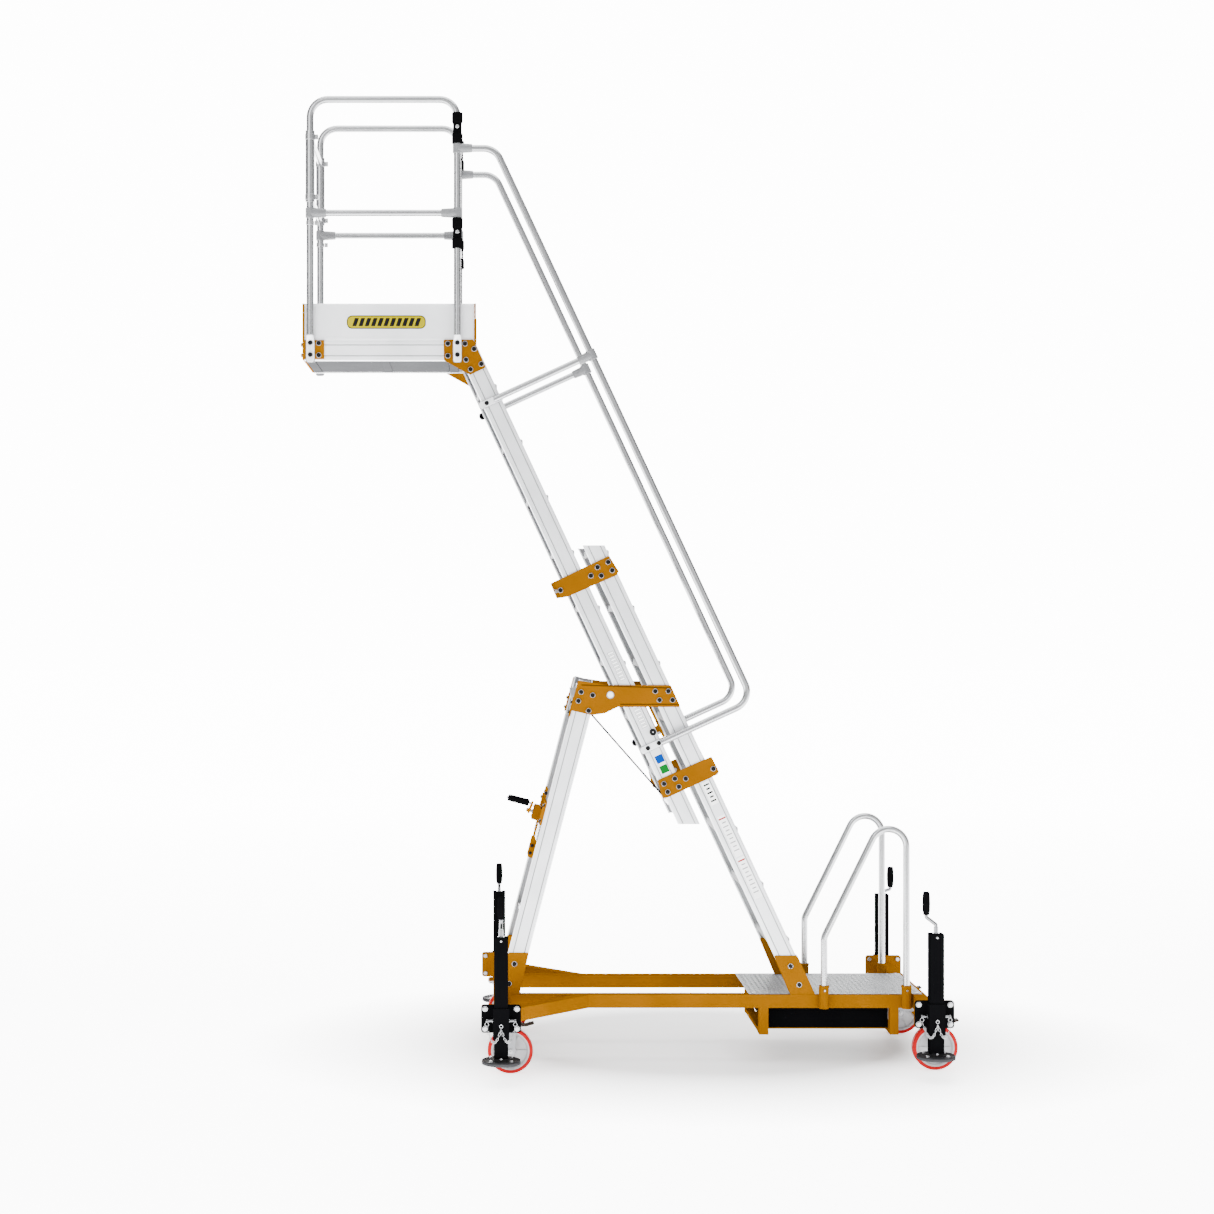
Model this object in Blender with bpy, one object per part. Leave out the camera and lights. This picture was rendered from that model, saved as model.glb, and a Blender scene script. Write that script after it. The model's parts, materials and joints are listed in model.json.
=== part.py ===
"""Winch-raised mobile access platform: wheeled chassis, fixed ladder, and sliding ladder with a work platform.

Metres, +Z up, floor at Z = 0. The climber walks up facing -X, so the left side is -Y. X = 0 and Y = 0 are the
middle of the whole object seen from above.
"""

import math

import bmesh
import bpy
from mathutils import Matrix, Vector

# Gaps between pieces
GAP = 0.0003
LOOSE = 0.0008
SINK = 0.0015

# Ladder: both sections share one slope and one stile section
SLOPE = math.radians(65.0)
UP = Vector((-math.cos(SLOPE), 0.0, math.sin(SLOPE)))
FRONT = Vector((math.sin(SLOPE), 0.0, math.cos(SLOPE)))
LADDER_HALF = 0.275
STILE_DEPTH = 0.089
STILE_WIDTH = 0.030
STILE_WALL = 0.004
FIXED_AXIS = Vector((-0.1503, 0.0, 2.3314))
FIXED_TOP_Z = 2.331
SLIDING_AXIS = Vector((0.2800, 0.0, 1.0745))
SLIDING_BOTTOM_Z = 1.0745
TREAD_PITCH = 0.250
TREAD_COUNT = 8
FIRST_FIXED_TREAD = 0.561
FIRST_SLIDING_TREAD = 1.311
TREAD_THICKNESS = 0.030
TREAD_NOSE = 0.061
TREAD_BACK = 0.032
PLATE = 0.006
PLATE_CORNER = 0.005
PLATE_Y = (LADDER_HALF + GAP, LADDER_HALF + GAP + PLATE)
INNER_PLATE_Y = (LADDER_HALF - STILE_WIDTH - GAP - PLATE, LADDER_HALF - STILE_WIDTH - GAP)

# Rear legs
LEG_SLOPE = math.radians(75.4)
LEG_UP = Vector((math.cos(LEG_SLOPE), 0.0, math.sin(LEG_SLOPE)))
LEG_BACK = Vector((-math.sin(LEG_SLOPE), 0.0, math.cos(LEG_SLOPE)))
LEG_AXIS = Vector((-0.487, 0.0, 0.502))
LEG_TOP_Z = 1.726
LEG_CROSSBARS = (0.640, 0.937, 1.680)

# Chassis
RAIL_TOP = 0.308
RAIL_BOTTOM = 0.248
RAIL_HALF = 0.283
RAIL_WIDTH = 0.050
REAR_X = -0.570
FRONT_X = 1.315
BEAM_HALF = 0.030
REAR_BEAM_SPAN = 0.700
FRONT_BEAM_SPAN = 0.600
DECK_X = (0.549, 1.331)
DECK_TOP = 0.3113
CRADLE_X = ((0.595, 0.636), (1.184, 1.222))
CRADLE_BOTTOM = 0.128
LOW_POSTS = (0.882, 1.254)
LOW_RAIL_Y = 0.303
LOW_RAIL_RADIUS = 0.015
LOW_RAIL_CROWN_Z = 0.977
LOW_RAIL_SLOPE = math.radians(63.7)

# Jacks
MOUNT_HALF = 0.086
MOUNT_Z = (0.222, 0.342)
MOUNT_CORNER = 0.012
JACK_STANDOFF = 0.045
JACK_TUBE = 0.060
JACK_BOTTOM = 0.120
JACK_TOP = 0.637
FOOT_BOTTOM = 0.095
FOOT_RADIUS = 0.085
CRANK_OFFSET = 0.042
CRANK_GRIP = ((0.005, 0.0065), (0.006, 0.0120), (0.013, 0.0128), (0.056, 0.0145), (0.100, 0.0128))
CRANK_LEVELS = {-1: (0.6680, 0.6740, 0.7120), 1: (0.6400, 0.6460, 0.6650)}
JACKS = {
    "rear_left": (REAR_X, -1, -90.0),
    "rear_right": (REAR_X, 1, 90.0),
    "front_left": (FRONT_X, -1, 180.0),
    "front_right": (FRONT_X, 1, 0.0),
}

# Casters
CASTER_Y = {REAR_X: 0.482, FRONT_X: 0.412}
WHEEL_RADIUS = 0.100
WHEEL_HALF = 0.0225
WHEEL_SIDES = 20
CASTER_TRAIL = 0.042
PEDAL_PIVOT = (0.083, 0.2135)

# Platform
DECK_Z = 3.252
CHANNEL_BOTTOM = 3.164
PLATFORM_FRONT = -1.454
TOE_TOP = 3.420
TOE_END = -0.689
RAIL_AXIS_Y = 0.298
RAIL_RADIUS = 0.016
POST_X = (-1.427, -0.764)
POST_BOTTOM = 3.155
TOP_RAIL_Z = 4.335
MID_RAIL_Z = 3.824
BEND = 0.080
HINGE_BLOCKS = ((3.665, 3.800), (4.135, 4.274))
GATE_AXIS_Y = 0.258
GATE_RADIUS = 0.0125
FRONT_BARS = (3.895, 4.165)

# Lifting gear
PULLEY_AXIS = Vector((-0.214, 0.0, 1.590))
ROPE_RADIUS = 0.003
PULLEY_ROPE_RADIUS = 0.0275
DRUM_ROPE_RADIUS = 0.0235
ANCHOR_AXIS = Vector((0.197, 0.0, 1.1645))
WINCH_Z = 1.0860
DRUM_BACK = 0.010
CRANK_BACK = 0.067
CRANK_ARM = 0.150
LATCH_AXIS = Vector((0.116, 0.0, 1.490))
UPPER_ROLLER = Vector((-0.282, 0.0, 2.140))
LOWER_ROLLER = Vector((0.382, 0.0, 1.336))


def clear_scene():
    for item in list(bpy.data.objects):
        bpy.data.objects.remove(item, do_unlink=True)


def make_material(name, colour, roughness, metallic):
    material = bpy.data.materials.new(name)
    material.use_nodes = True
    shader = material.node_tree.nodes["Principled BSDF"]
    shader.inputs["Base Color"].default_value = (*colour, 1.0)
    shader.inputs["Roughness"].default_value = roughness
    shader.inputs["Metallic"].default_value = metallic
    return material


FINISHES = {
    "aluminium": ((0.78, 0.79, 0.81), 0.38, 0.85),
    "orange_paint": ((0.55, 0.23, 0.01), 0.42, 0.0),
    "black_paint": ((0.010, 0.010, 0.012), 0.40, 0.0),
    "black_plastic": ((0.012, 0.012, 0.013), 0.55, 0.0),
    "checker_plate": ((0.46, 0.48, 0.50), 0.35, 0.9),
    "zinc": ((0.62, 0.63, 0.65), 0.35, 0.95),
    "steel_rope": ((0.35, 0.35, 0.36), 0.45, 0.9),
    "wheel": ((0.50, 0.01, 0.015), 0.45, 0.0),
    "roller_plastic": ((0.42, 0.50, 0.05), 0.50, 0.0),
}


# Shape helpers: each returns a new object with its mesh in world coordinates
def new_object(name, mesh_data):
    item = bpy.data.objects.new(name, mesh_data)
    bpy.context.scene.collection.objects.link(item)
    return item


def from_bmesh(shape, name="shape"):
    bmesh.ops.recalc_face_normals(shape, faces=shape.faces)
    mesh_data = bpy.data.meshes.new(name)
    shape.to_mesh(mesh_data)
    shape.free()
    return new_object(name, mesh_data)


def box(x_range, y_range, z_range):
    shape = bmesh.new()
    bmesh.ops.create_cube(shape, size=1.0)
    centre = [(low + high) / 2 for low, high in (x_range, y_range, z_range)]
    size = [high - low for low, high in (x_range, y_range, z_range)]
    bmesh.ops.transform(shape, matrix=Matrix.LocRotScale(centre, None, size), verts=shape.verts)
    return from_bmesh(shape)


def loft(rings, closed=False):
    """Skin over rings of points, with a cap at each end unless the rings close on themselves."""
    shape = bmesh.new()
    made = [[shape.verts.new(point) for point in ring] for ring in rings]
    pairs = list(zip(made, made[1:]))
    if closed:
        pairs.append((made[-1], made[0]))
    for first, second in pairs:
        for i in range(len(first)):
            j = (i + 1) % len(first)
            shape.faces.new((first[i], first[j], second[j], second[i]))
    if not closed:
        shape.faces.new(made[0])
        shape.faces.new(made[-1])
    return from_bmesh(shape)


def prism(outline, y_range):
    """A flat outline in X and Z, drawn out along Y."""
    return loft([[(x, y, z) for x, z in outline] for y in y_range])


def soft_plate(outline, y_range, corner=PLATE_CORNER):
    """A flat plate in X and Z, with rounded corners, drawn out along Y."""
    path = rounded([(x, 0.0, z) for x, z in outline], corner, 3, True)
    return prism([(point.x, point.z) for point in path], y_range)


def turned(profile, centre, axis, sides=16, closed=False):
    """A profile of (radius, height) turned about an axis. A radius of 0 isn't used: the ends are capped."""
    turn = Vector((0.0, 0.0, 1.0)).rotation_difference(Vector(axis)).to_matrix()
    rings = []
    for radius, height in profile:
        ring = []
        for i in range(sides):
            angle = 2 * math.pi * (i + 0.5) / sides
            spoke = Vector((radius * math.cos(angle), radius * math.sin(angle), height))
            ring.append(Vector(centre) + turn @ spoke)
        rings.append(ring)
    return loft(rings, closed)


def rod(start, end, radius, sides=12):
    start = Vector(start)
    along = Vector(end) - start
    return turned([(radius, 0.0), (radius, along.length)], start, along.normalized(), sides)


def sweep(points, radius, across, sides=8, closed=False):
    """A round tube along points that lie in one plane, whose normal is across. radius may be one for each point."""
    points = [Vector(point) for point in points]
    across = Vector(across)
    count = len(points)
    radii = radius if isinstance(radius, list) else [radius] * count
    rings = []
    for i, point in enumerate(points):
        before = points[i - 1] if i or closed else None
        after = points[(i + 1) % count] if i + 1 < count or closed else None
        into = (point - before).normalized() if before is not None else (after - point).normalized()
        out = (after - point).normalized() if after is not None else into
        tangent = (into + out).normalized()
        stretch = 1.0 / max(0.3, tangent.dot(out))
        side = tangent.cross(across)
        ring = []
        for k in range(sides):
            angle = 2 * math.pi * (k + 0.5) / sides
            offset = side * math.cos(angle) * stretch + across * math.sin(angle)
            ring.append(point + offset * radii[i])
        rings.append(ring)
    return loft(rings, closed)


def rounded(points, radius, steps=5, closed=False):
    """The corners of a path, each replaced by an arc."""
    points = [Vector(point) for point in points]
    count = len(points)
    path = []
    for i, corner in enumerate(points):
        if not closed and i in (0, count - 1):
            path.append(corner)
            continue
        back = (points[i - 1] - corner).normalized()
        ahead = (points[(i + 1) % count] - corner).normalized()
        half = back.angle(ahead) / 2
        middle = corner + (back + ahead).normalized() * (radius / math.sin(half))
        start = corner + back * (radius / math.tan(half)) - middle
        end = corner + ahead * (radius / math.tan(half)) - middle
        turn = start.angle(end)
        for step in range(steps + 1):
            share = step / steps
            first = math.sin((1 - share) * turn) / math.sin(turn)
            second = math.sin(share * turn) / math.sin(turn)
            path.append(middle + start * first + end * second)
    return path


def combine(base, others, operation="UNION"):
    for other in others:
        change = base.modifiers.new(operation.lower(), "BOOLEAN")
        change.operation = operation
        change.solver = "EXACT"
        change.object = other
    bpy.context.view_layer.update()
    graph = bpy.context.evaluated_depsgraph_get()
    shape = bpy.data.meshes.new_from_object(base.evaluated_get(graph))
    base.modifiers.clear()
    base.data = shape
    for other in others:
        bpy.data.objects.remove(other, do_unlink=True)
    return base


def union(*shapes):
    return combine(shapes[0], shapes[1:])


def cut(base, *cutters):
    return combine(base, cutters, "DIFFERENCE")


def pivot(name, place, parent=None):
    """An empty on a joint's axis."""
    empty = new_object(name, None)
    empty.location = place
    bpy.context.view_layer.update()
    if parent is not None:
        empty.parent = parent
        empty.matrix_parent_inverse = parent.matrix_world.inverted()
        bpy.context.view_layer.update()
    return empty


def node(name, item, finish, parent=None):
    """Names a finished sub-part, gives it its material and moves its origin onto its parent's axis."""
    item.name = name
    item.data.name = name
    if parent is not None:
        item.data.transform(Matrix.Translation(-parent.matrix_world.translation))
        item.parent = parent
    item.data.materials.clear()
    item.data.materials.append(bpy.data.materials[finish])
    item.data.shade_smooth()
    item.data.set_sharp_from_angle(angle=math.radians(32.0))
    return item


def both_sides(y_range):
    low, high = y_range
    return {"left": (-high, -low), "right": (low, high)}


def sided(side):
    return -1 if side == "left" else 1


def on_plane_z(level):
    return Vector((0.0, 0.0, level)), Vector((0.0, 0.0, 1.0))


def stile(axis, along, across, side, bottom, top):
    """A channel that is open towards the middle, between two cutting planes, each a point and a normal."""
    half = STILE_DEPTH / 2
    outer = LADDER_HALF * side
    web = (LADDER_HALF - STILE_WALL) * side
    inner = (LADDER_HALF - STILE_WIDTH) * side
    lip = half - STILE_WALL
    section = ((half, outer), (half, inner), (lip, inner), (lip, web))
    section += ((-lip, web), (-lip, inner), (-half, inner), (-half, outer))
    rings = []
    for point, normal in (bottom, top):
        ring = []
        for depth, y in section:
            start = axis + across * depth + Vector((0.0, y, 0.0))
            travel = (point - start).dot(normal) / along.dot(normal)
            ring.append(start + along * travel)
        rings.append(ring)
    return loft(rings)


def slope_x(axis, level, along=UP):
    """X of a sloping centre line at a height."""
    return axis.x + (level - axis.z) * along.x / along.z


def treads(axis, first):
    made = []
    inner = LADDER_HALF - STILE_WIDTH + SINK
    for i in range(TREAD_COUNT):
        top = first + i * TREAD_PITCH
        middle = slope_x(axis, top)
        x_range = (middle - TREAD_BACK, middle + TREAD_NOSE)
        made.append(box(x_range, (-inner, inner), (top - TREAD_THICKNESS, top)))
    return made


# Chassis
def outrigger(side):
    """The brace from a long rail out to the end of the rear beam."""
    start = Vector((-0.186, 0.262 * side, 0.0))
    end = Vector((REAR_X + 0.010, 0.640 * side, 0.0))
    along = (end - start).normalized()
    wide = Vector((-along.y, along.x, 0.0)) * (RAIL_WIDTH / 2)
    corners = (start - wide, start + wide, end + wide, end - wide)
    levels = (RAIL_BOTTOM + 0.001, RAIL_TOP - 0.001)
    return loft([[(c.x, c.y, level) for c in corners] for level in levels])


def caster_pad(x, side):
    y = CASTER_Y[x] * side
    return box((x - 0.052, x + 0.052), (y - 0.042, y + 0.042), (0.2425, RAIL_BOTTOM + SINK))


def mount_outline(x):
    """The outline that an end plate shares with the plate of the jack bolted to it."""
    low, high = MOUNT_Z
    return [(x - MOUNT_HALF, low), (x + MOUNT_HALF, low), (x + MOUNT_HALF, high), (x - MOUNT_HALF, high)]


def end_plate(x, side, span):
    low, high = span - SINK, span + 0.007
    y_range = both_sides((low, high))["left" if side < 0 else "right"]
    return soft_plate(mount_outline(x), y_range, MOUNT_CORNER)


def back_lip(levels, y_range):
    """A strip on the back face of a rear leg, between two heights."""
    low, high = levels
    outline = []
    for offset, ends in ((STILE_DEPTH / 2 + GAP, (low, high)), (STILE_DEPTH / 2 + GAP + PLATE, (high, low))):
        edge = LEG_AXIS + LEG_BACK * offset
        for level in ends:
            outline.append((slope_x(edge, level, LEG_UP), level))
    return prism(outline, y_range)


def foot_brackets(side):
    """Plates at the foot of a ladder stile and on both faces of a rear leg."""
    name = "left" if side < 0 else "right"
    outer = both_sides(PLATE_Y)[name]
    inner = both_sides(INNER_PLATE_Y)[name]
    ladder = soft_plate([(0.662, 0.483), (0.767, 0.483), (0.851, 0.300), (0.739, 0.300)], outer)
    leg = [(-0.576, 0.300), (-0.487, 0.300), (-0.442, 0.496), (-0.534, 0.496)]
    return [ladder, soft_plate(leg, outer), soft_plate(leg, inner)]


def cradle(x_range):
    parts = []
    for y_range in both_sides((RAIL_HALF - RAIL_WIDTH, RAIL_HALF)).values():
        parts.append(box(x_range, y_range, (CRADLE_BOTTOM, RAIL_BOTTOM + SINK)))
    inner = RAIL_HALF - RAIL_WIDTH + SINK
    inset = (x_range[0] + 0.001, x_range[1] - 0.001)
    parts.append(box(inset, (-inner, inner), (CRADLE_BOTTOM + 0.001, CRADLE_BOTTOM + 0.020)))
    return parts


def chassis_frame():
    beam_z = (RAIL_BOTTOM, RAIL_TOP)
    rear = (REAR_X - BEAM_HALF, REAR_X + BEAM_HALF)
    front = (FRONT_X - BEAM_HALF, FRONT_X + BEAM_HALF)
    parts = [box(rear, (-REAR_BEAM_SPAN, REAR_BEAM_SPAN), beam_z)]
    parts.append(box(front, (-FRONT_BEAM_SPAN, FRONT_BEAM_SPAN), beam_z))
    for y_range in both_sides((RAIL_HALF - RAIL_WIDTH, RAIL_HALF)).values():
        rail_x = (rear[1] - SINK, front[0] + SINK)
        parts.append(box(rail_x, y_range, (RAIL_BOTTOM + 0.0004, RAIL_TOP - 0.0004)))
    for x_range in CRADLE_X:
        parts += cradle(x_range)
    runner_x = (CRADLE_X[0][0] + 0.010, CRADLE_X[1][1] - 0.010)
    for y_range in both_sides((0.120, 0.160)).values():
        parts.append(box(runner_x, y_range, (CRADLE_BOTTOM + 0.003, CRADLE_BOTTOM + 0.0215)))
    for side in (-1, 1):
        parts.append(outrigger(side))
        parts += foot_brackets(side)
        for x, span in ((REAR_X, REAR_BEAM_SPAN), (FRONT_X, FRONT_BEAM_SPAN)):
            parts.append(caster_pad(x, side))
            parts.append(end_plate(x, side, span))
        for x in LOW_POSTS:
            parts.append(rod((x, LOW_RAIL_Y * side, 0.250), (x, LOW_RAIL_Y * side, 0.351), 0.0220, 12))
    frame = union(*parts)
    holes = []
    for side in (-1, 1):
        for x in LOW_POSTS:
            holes.append(rod((x, LOW_RAIL_Y * side, 0.262), (x, LOW_RAIL_Y * side, 0.400), 0.0162, 12))
    return cut(frame, *holes)


def low_handrail(side):
    y = LOW_RAIL_Y * side
    start_x, end_x = LOW_POSTS
    crown = Vector((end_x - BEND, y, LOW_RAIL_CROWN_Z))
    slope = LOW_RAIL_SLOPE
    tangent = crown + Vector((-math.sin(slope), 0.0, math.cos(slope))) * BEND
    knee_z = tangent.z - (tangent.x - start_x) * math.tan(slope)
    path = rounded([(start_x, y, 0.263), (start_x, y, knee_z), tangent], 0.070, 4)[:-1]
    for i in range(9):
        angle = slope + math.radians(90.0) - i / 8 * (slope + math.radians(90.0))
        path.append(crown + Vector((math.cos(angle), 0.0, math.sin(angle))) * BEND)
    path.append(Vector((end_x, y, 0.263)))
    return sweep(path, LOW_RAIL_RADIUS, (0.0, 1.0, 0.0), 8)


def counterweight():
    x_range = (CRADLE_X[0][1] + 0.001, CRADLE_X[1][0] - 0.001)
    return box(x_range, (-0.230, 0.230), (CRADLE_BOTTOM + 0.0225, RAIL_BOTTOM - 0.0005))


def deck_plate():
    return box(DECK_X, (-0.2745, 0.2745), (RAIL_TOP + GAP, DECK_TOP))


# Fixed parts above the chassis
def lower_ladder_section():
    bottom = on_plane_z(DECK_TOP + 0.0005)
    top = on_plane_z(FIXED_TOP_Z)
    stiles = [stile(FIXED_AXIS, UP, FRONT, side, bottom, top) for side in (-1, 1)]
    return union(*stiles, *treads(FIXED_AXIS, FIRST_FIXED_TREAD))


def upper_ladder_section():
    bottom = on_plane_z(SLIDING_BOTTOM_Z)
    corner = Vector((-0.743, 0.0, CHANNEL_BOTTOM))
    mitre = Vector((-0.686, 0.0, DECK_Z)) - corner
    top = (corner, Vector((-mitre.z, 0.0, mitre.x)).normalized())
    stiles = [stile(SLIDING_AXIS, UP, FRONT, side, bottom, top) for side in (-1, 1)]
    inner = LADDER_HALF - STILE_WALL + SINK
    anchor = rod((ANCHOR_AXIS.x, -inner, ANCHOR_AXIS.z), (ANCHOR_AXIS.x, inner, ANCHOR_AXIS.z), 0.010)
    section = union(*stiles, *treads(SLIDING_AXIS, FIRST_SLIDING_TREAD), anchor)
    reach = LADDER_HALF + 0.050
    shaft = rod((LATCH_AXIS.x, -reach, LATCH_AXIS.z), (LATCH_AXIS.x, reach, LATCH_AXIS.z), 0.0085)
    return cut(section, shaft)


def rear_leg_frame():
    bottom = on_plane_z(RAIL_TOP + GAP)
    front = -LEG_BACK
    top_level = LEG_TOP_Z - STILE_DEPTH / 2 * LEG_BACK.z
    top = (Vector((slope_x(LEG_AXIS, top_level, LEG_UP), 0.0, top_level)), LEG_UP)
    parts = [stile(LEG_AXIS, LEG_UP, front, side, bottom, top) for side in (-1, 1)]
    inner = LADDER_HALF - STILE_WALL + SINK
    for level in LEG_CROSSBARS:
        middle = slope_x(LEG_AXIS, level, LEG_UP)
        parts.append(box((middle - 0.030, middle + 0.030), (-inner, inner), (level - 0.015, level + 0.015)))
    for y_range in both_sides((0.0120, 0.0160)).values():
        outline = [(-0.232, 1.574), (-0.196, 1.574), (-0.164, 1.690), (-0.205, 1.690)]
        parts.append(prism(outline, y_range))
    frame = union(*parts)
    hole = rod((PULLEY_AXIS.x, -0.030, PULLEY_AXIS.z), (PULLEY_AXIS.x, 0.030, PULLEY_AXIS.z), 0.0070)
    return cut(frame, hole)


def head_plate(y_range):
    """A plate that ties a rear leg to the fixed ladder, with a lip round the back of the leg."""
    outline = [(-0.2205, 1.722), (-0.084, 1.701), (0.197, 1.701), (0.241, 1.603)]
    outline += [(-0.040, 1.603), (-0.100, 1.574), (-0.158, 1.566), (-0.2553, 1.589)]
    hole = rod((-0.075, -0.400, 1.657), (-0.075, 0.400, 1.657), 0.0175, 12)
    lip_y = both_sides((0.2362, PLATE_Y[1] - 0.001))["right" if y_range[0] > 0 else "left"]
    return cut(union(soft_plate(outline, y_range), back_lip((1.560, 1.645), lip_y)), hole)


def upper_guide_bracket(y_range):
    outline = [(-0.329, 2.165), (-0.081, 2.284), (-0.037, 2.214), (-0.046, 2.197), (-0.269, 2.099)]
    return soft_plate(outline + [(-0.299, 2.093)], y_range)


def lower_guide_bracket(y_range):
    outline = [(0.137, 1.272), (0.380, 1.380), (0.414, 1.313), (0.407, 1.299), (0.181, 1.195)]
    return soft_plate(outline + [(0.159, 1.193)], y_range)


def guide_rollers(axis, radius, spindle):
    """Two rollers on one spindle, which bear on the outer faces of both stiles."""
    low, high = LADDER_HALF - 0.026, LADDER_HALF - 0.002
    profile = [(spindle, -LADDER_HALF + 0.001), (spindle, -high), (radius, -high), (radius, -low)]
    profile += [(spindle, -low), (spindle, low), (radius, low), (radius, high), (spindle, high)]
    profile.append((spindle, LADDER_HALF - 0.001))
    return turned(profile, axis, (0.0, 1.0, 0.0), 10)


# Winch and rope
def leg_point(level, back, y=0.0):
    """A point at a height on the rear legs' centre line, moved out behind them."""
    base = Vector((slope_x(LEG_AXIS, level, LEG_UP), y, level))
    return base + LEG_BACK * back


def leg_plate(outline, y_range):
    """A plate whose outline is given along and behind the rear legs, from the winch's height."""
    corners = []
    for along, back in outline:
        point = leg_point(WINCH_Z, back) + LEG_UP * along
        corners.append((point.x, point.z))
    return prism(corners, y_range)


def leg_block(along, back, y_range):
    return leg_plate([(along[a], back[b]) for a, b in ((0, 0), (1, 0), (1, 1), (0, 1))], y_range)


def winch_frame():
    """A cross plate behind the legs, the gear case, and two side plates that run down to a crossbar."""
    parts = [leg_block((-0.030, 0.075), (0.0450, 0.0515), (-0.272, 0.272))]
    parts.append(leg_block((-0.034, 0.034), (0.0500, 0.0860), (-0.040, 0.040)))
    parts.append(leg_block((-0.200, -0.120), (0.0345, 0.0400), (-0.052, 0.052)))
    cheek = [(-0.115, 0.0460), (-0.033, 0.0460), (-0.033, -0.015), (0.033, -0.015), (0.033, 0.0460)]
    strip = [(0.124, 0.0460), (0.124, 0.0560), (-0.115, 0.0560)]
    heel = [(-0.115, 0.0610), (-0.205, 0.0610), (-0.205, 0.0335), (-0.115, 0.0335)]
    for y_range in both_sides((0.050, 0.056)).values():
        parts.append(leg_plate(cheek + strip + heel, y_range))
    frame = union(*parts)
    drum = leg_point(WINCH_Z, DRUM_BACK)
    bore = rod((drum.x, -0.100, drum.z), (drum.x, 0.100, drum.z), 0.0072)
    shaft = rod(leg_point(WINCH_Z, 0.064), leg_point(WINCH_Z, 0.120), 0.0092)
    return cut(frame, bore, shaft)


def winch_drum():
    profile = [(0.0060, -0.0550), (0.0060, -0.0490), (0.0330, -0.0490), (0.0330, -0.0460)]
    profile += [(0.0200, -0.0460), (0.0200, 0.0460), (0.0330, 0.0460), (0.0330, 0.0490)]
    profile += [(0.0060, 0.0490), (0.0060, 0.0550)]
    return turned(profile, leg_point(WINCH_Z, DRUM_BACK), (0.0, 1.0, 0.0), 12)


def winch_crank():
    """A shaft, an arm that lies along the legs' plane and a grip that stands out behind."""
    swing = (LEG_UP * 0.30 + Vector((0.0, -0.954, 0.0))).normalized()
    across = swing.cross(LEG_BACK).normalized()
    shaft_end = leg_point(WINCH_Z, 0.104)
    grip_base = shaft_end + swing * CRANK_ARM
    grip_start = grip_base + LEG_BACK * 0.014
    path = rounded([leg_point(WINCH_Z, CRANK_BACK), shaft_end, grip_base, grip_start], 0.010, 2)
    radii = [0.0070] * len(path)
    for travel, radius in ((0.0145, 0.0115), (0.020, 0.0125), (0.108, 0.0125), (0.114, 0.0105)):
        path.append(grip_base + LEG_BACK * travel)
        radii.append(radius)
    return sweep(path, radii, across, 8)


def head_pulley():
    profile = [(0.0060, -0.0155), (0.0060, -0.0110), (0.0340, -0.0110), (0.0340, -0.0090)]
    profile += [(0.0240, -0.0038), (0.0240, 0.0038), (0.0340, 0.0090), (0.0340, 0.0110)]
    profile += [(0.0060, 0.0110), (0.0060, 0.0155)]
    return turned(profile, PULLEY_AXIS, (0.0, 1.0, 0.0), 12)


def lift_rope():
    """From the drum, over the head pulley, down to the cross rod at the foot of the sliding section."""
    drum = leg_point(WINCH_Z, DRUM_BACK)
    rise = PULLEY_AXIS - drum
    spread = PULLEY_ROPE_RADIUS + DRUM_ROPE_RADIUS
    lean = math.atan2(rise.z, rise.x) + math.asin(spread / rise.length)
    off_drum = Vector((math.sin(lean), 0.0, -math.cos(lean)))
    fall = ANCHOR_AXIS - PULLEY_AXIS
    reach = math.sqrt(fall.length**2 - PULLEY_ROPE_RADIUS**2)
    drop = math.atan2(fall.z, fall.x) - math.atan2(PULLEY_ROPE_RADIUS, reach)
    on_drum = drum + off_drum * DRUM_ROPE_RADIUS
    first = math.atan2(-off_drum.z, -off_drum.x)
    last = drop + math.radians(90.0)
    if first < last:
        first += 2 * math.pi
    path = [on_drum]
    steps = 8
    for i in range(steps + 1):
        angle = first + (last - first) * i / steps
        path.append(PULLEY_AXIS + Vector((math.cos(angle), 0.0, math.sin(angle))) * PULLEY_ROPE_RADIUS)
    end = ANCHOR_AXIS + (path[-1] - ANCHOR_AXIS).normalized() * 0.0105
    path.append(end)
    return sweep(path, ROPE_RADIUS, (0.0, 1.0, 0.0), 6)


# Platform
def channel(side):
    """A side channel, open towards the middle, whose end is mitred to meet the sliding stile."""
    inner = LADDER_HALF - STILE_WIDTH
    web = LADDER_HALF - STILE_WALL
    section = [(CHANNEL_BOTTOM, LADDER_HALF), (CHANNEL_BOTTOM, inner)]
    section += [(CHANNEL_BOTTOM + STILE_WALL, inner), (CHANNEL_BOTTOM + STILE_WALL, web)]
    section += [(DECK_Z - STILE_WALL, web), (DECK_Z - STILE_WALL, inner), (DECK_Z, inner), (DECK_Z, LADDER_HALF)]
    rings = []
    for end in (0, 1):
        ring = []
        for z, y in section:
            share = (z - CHANNEL_BOTTOM) / (DECK_Z - CHANNEL_BOTTOM)
            mitre_x = -0.7435 + share * 0.057
            ring.append((mitre_x if end else PLATFORM_FRONT, y * side, z))
        rings.append(ring)
    return loft(rings)


def platform_frame():
    parts = [channel(side) for side in (-1, 1)]
    inner = LADDER_HALF - STILE_WIDTH + SINK
    z_range = (CHANNEL_BOTTOM + 0.002, 3.2175)
    for x_range in ((-1.450, -1.410), (-1.115, -1.075), (-0.805, -0.765)):
        parts.append(box(x_range, (-inner, inner), z_range))
    return union(*parts)


def platform_deck():
    inner = LADDER_HALF - STILE_WIDTH - 0.002
    return box((PLATFORM_FRONT + GAP, TOE_END), (-inner, inner), (3.218, DECK_Z))


def toe_board(side):
    y_range = both_sides((0.270, LADDER_HALF))[side]
    return box((PLATFORM_FRONT + GAP, TOE_END), y_range, (DECK_Z + GAP, TOE_TOP))


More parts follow.
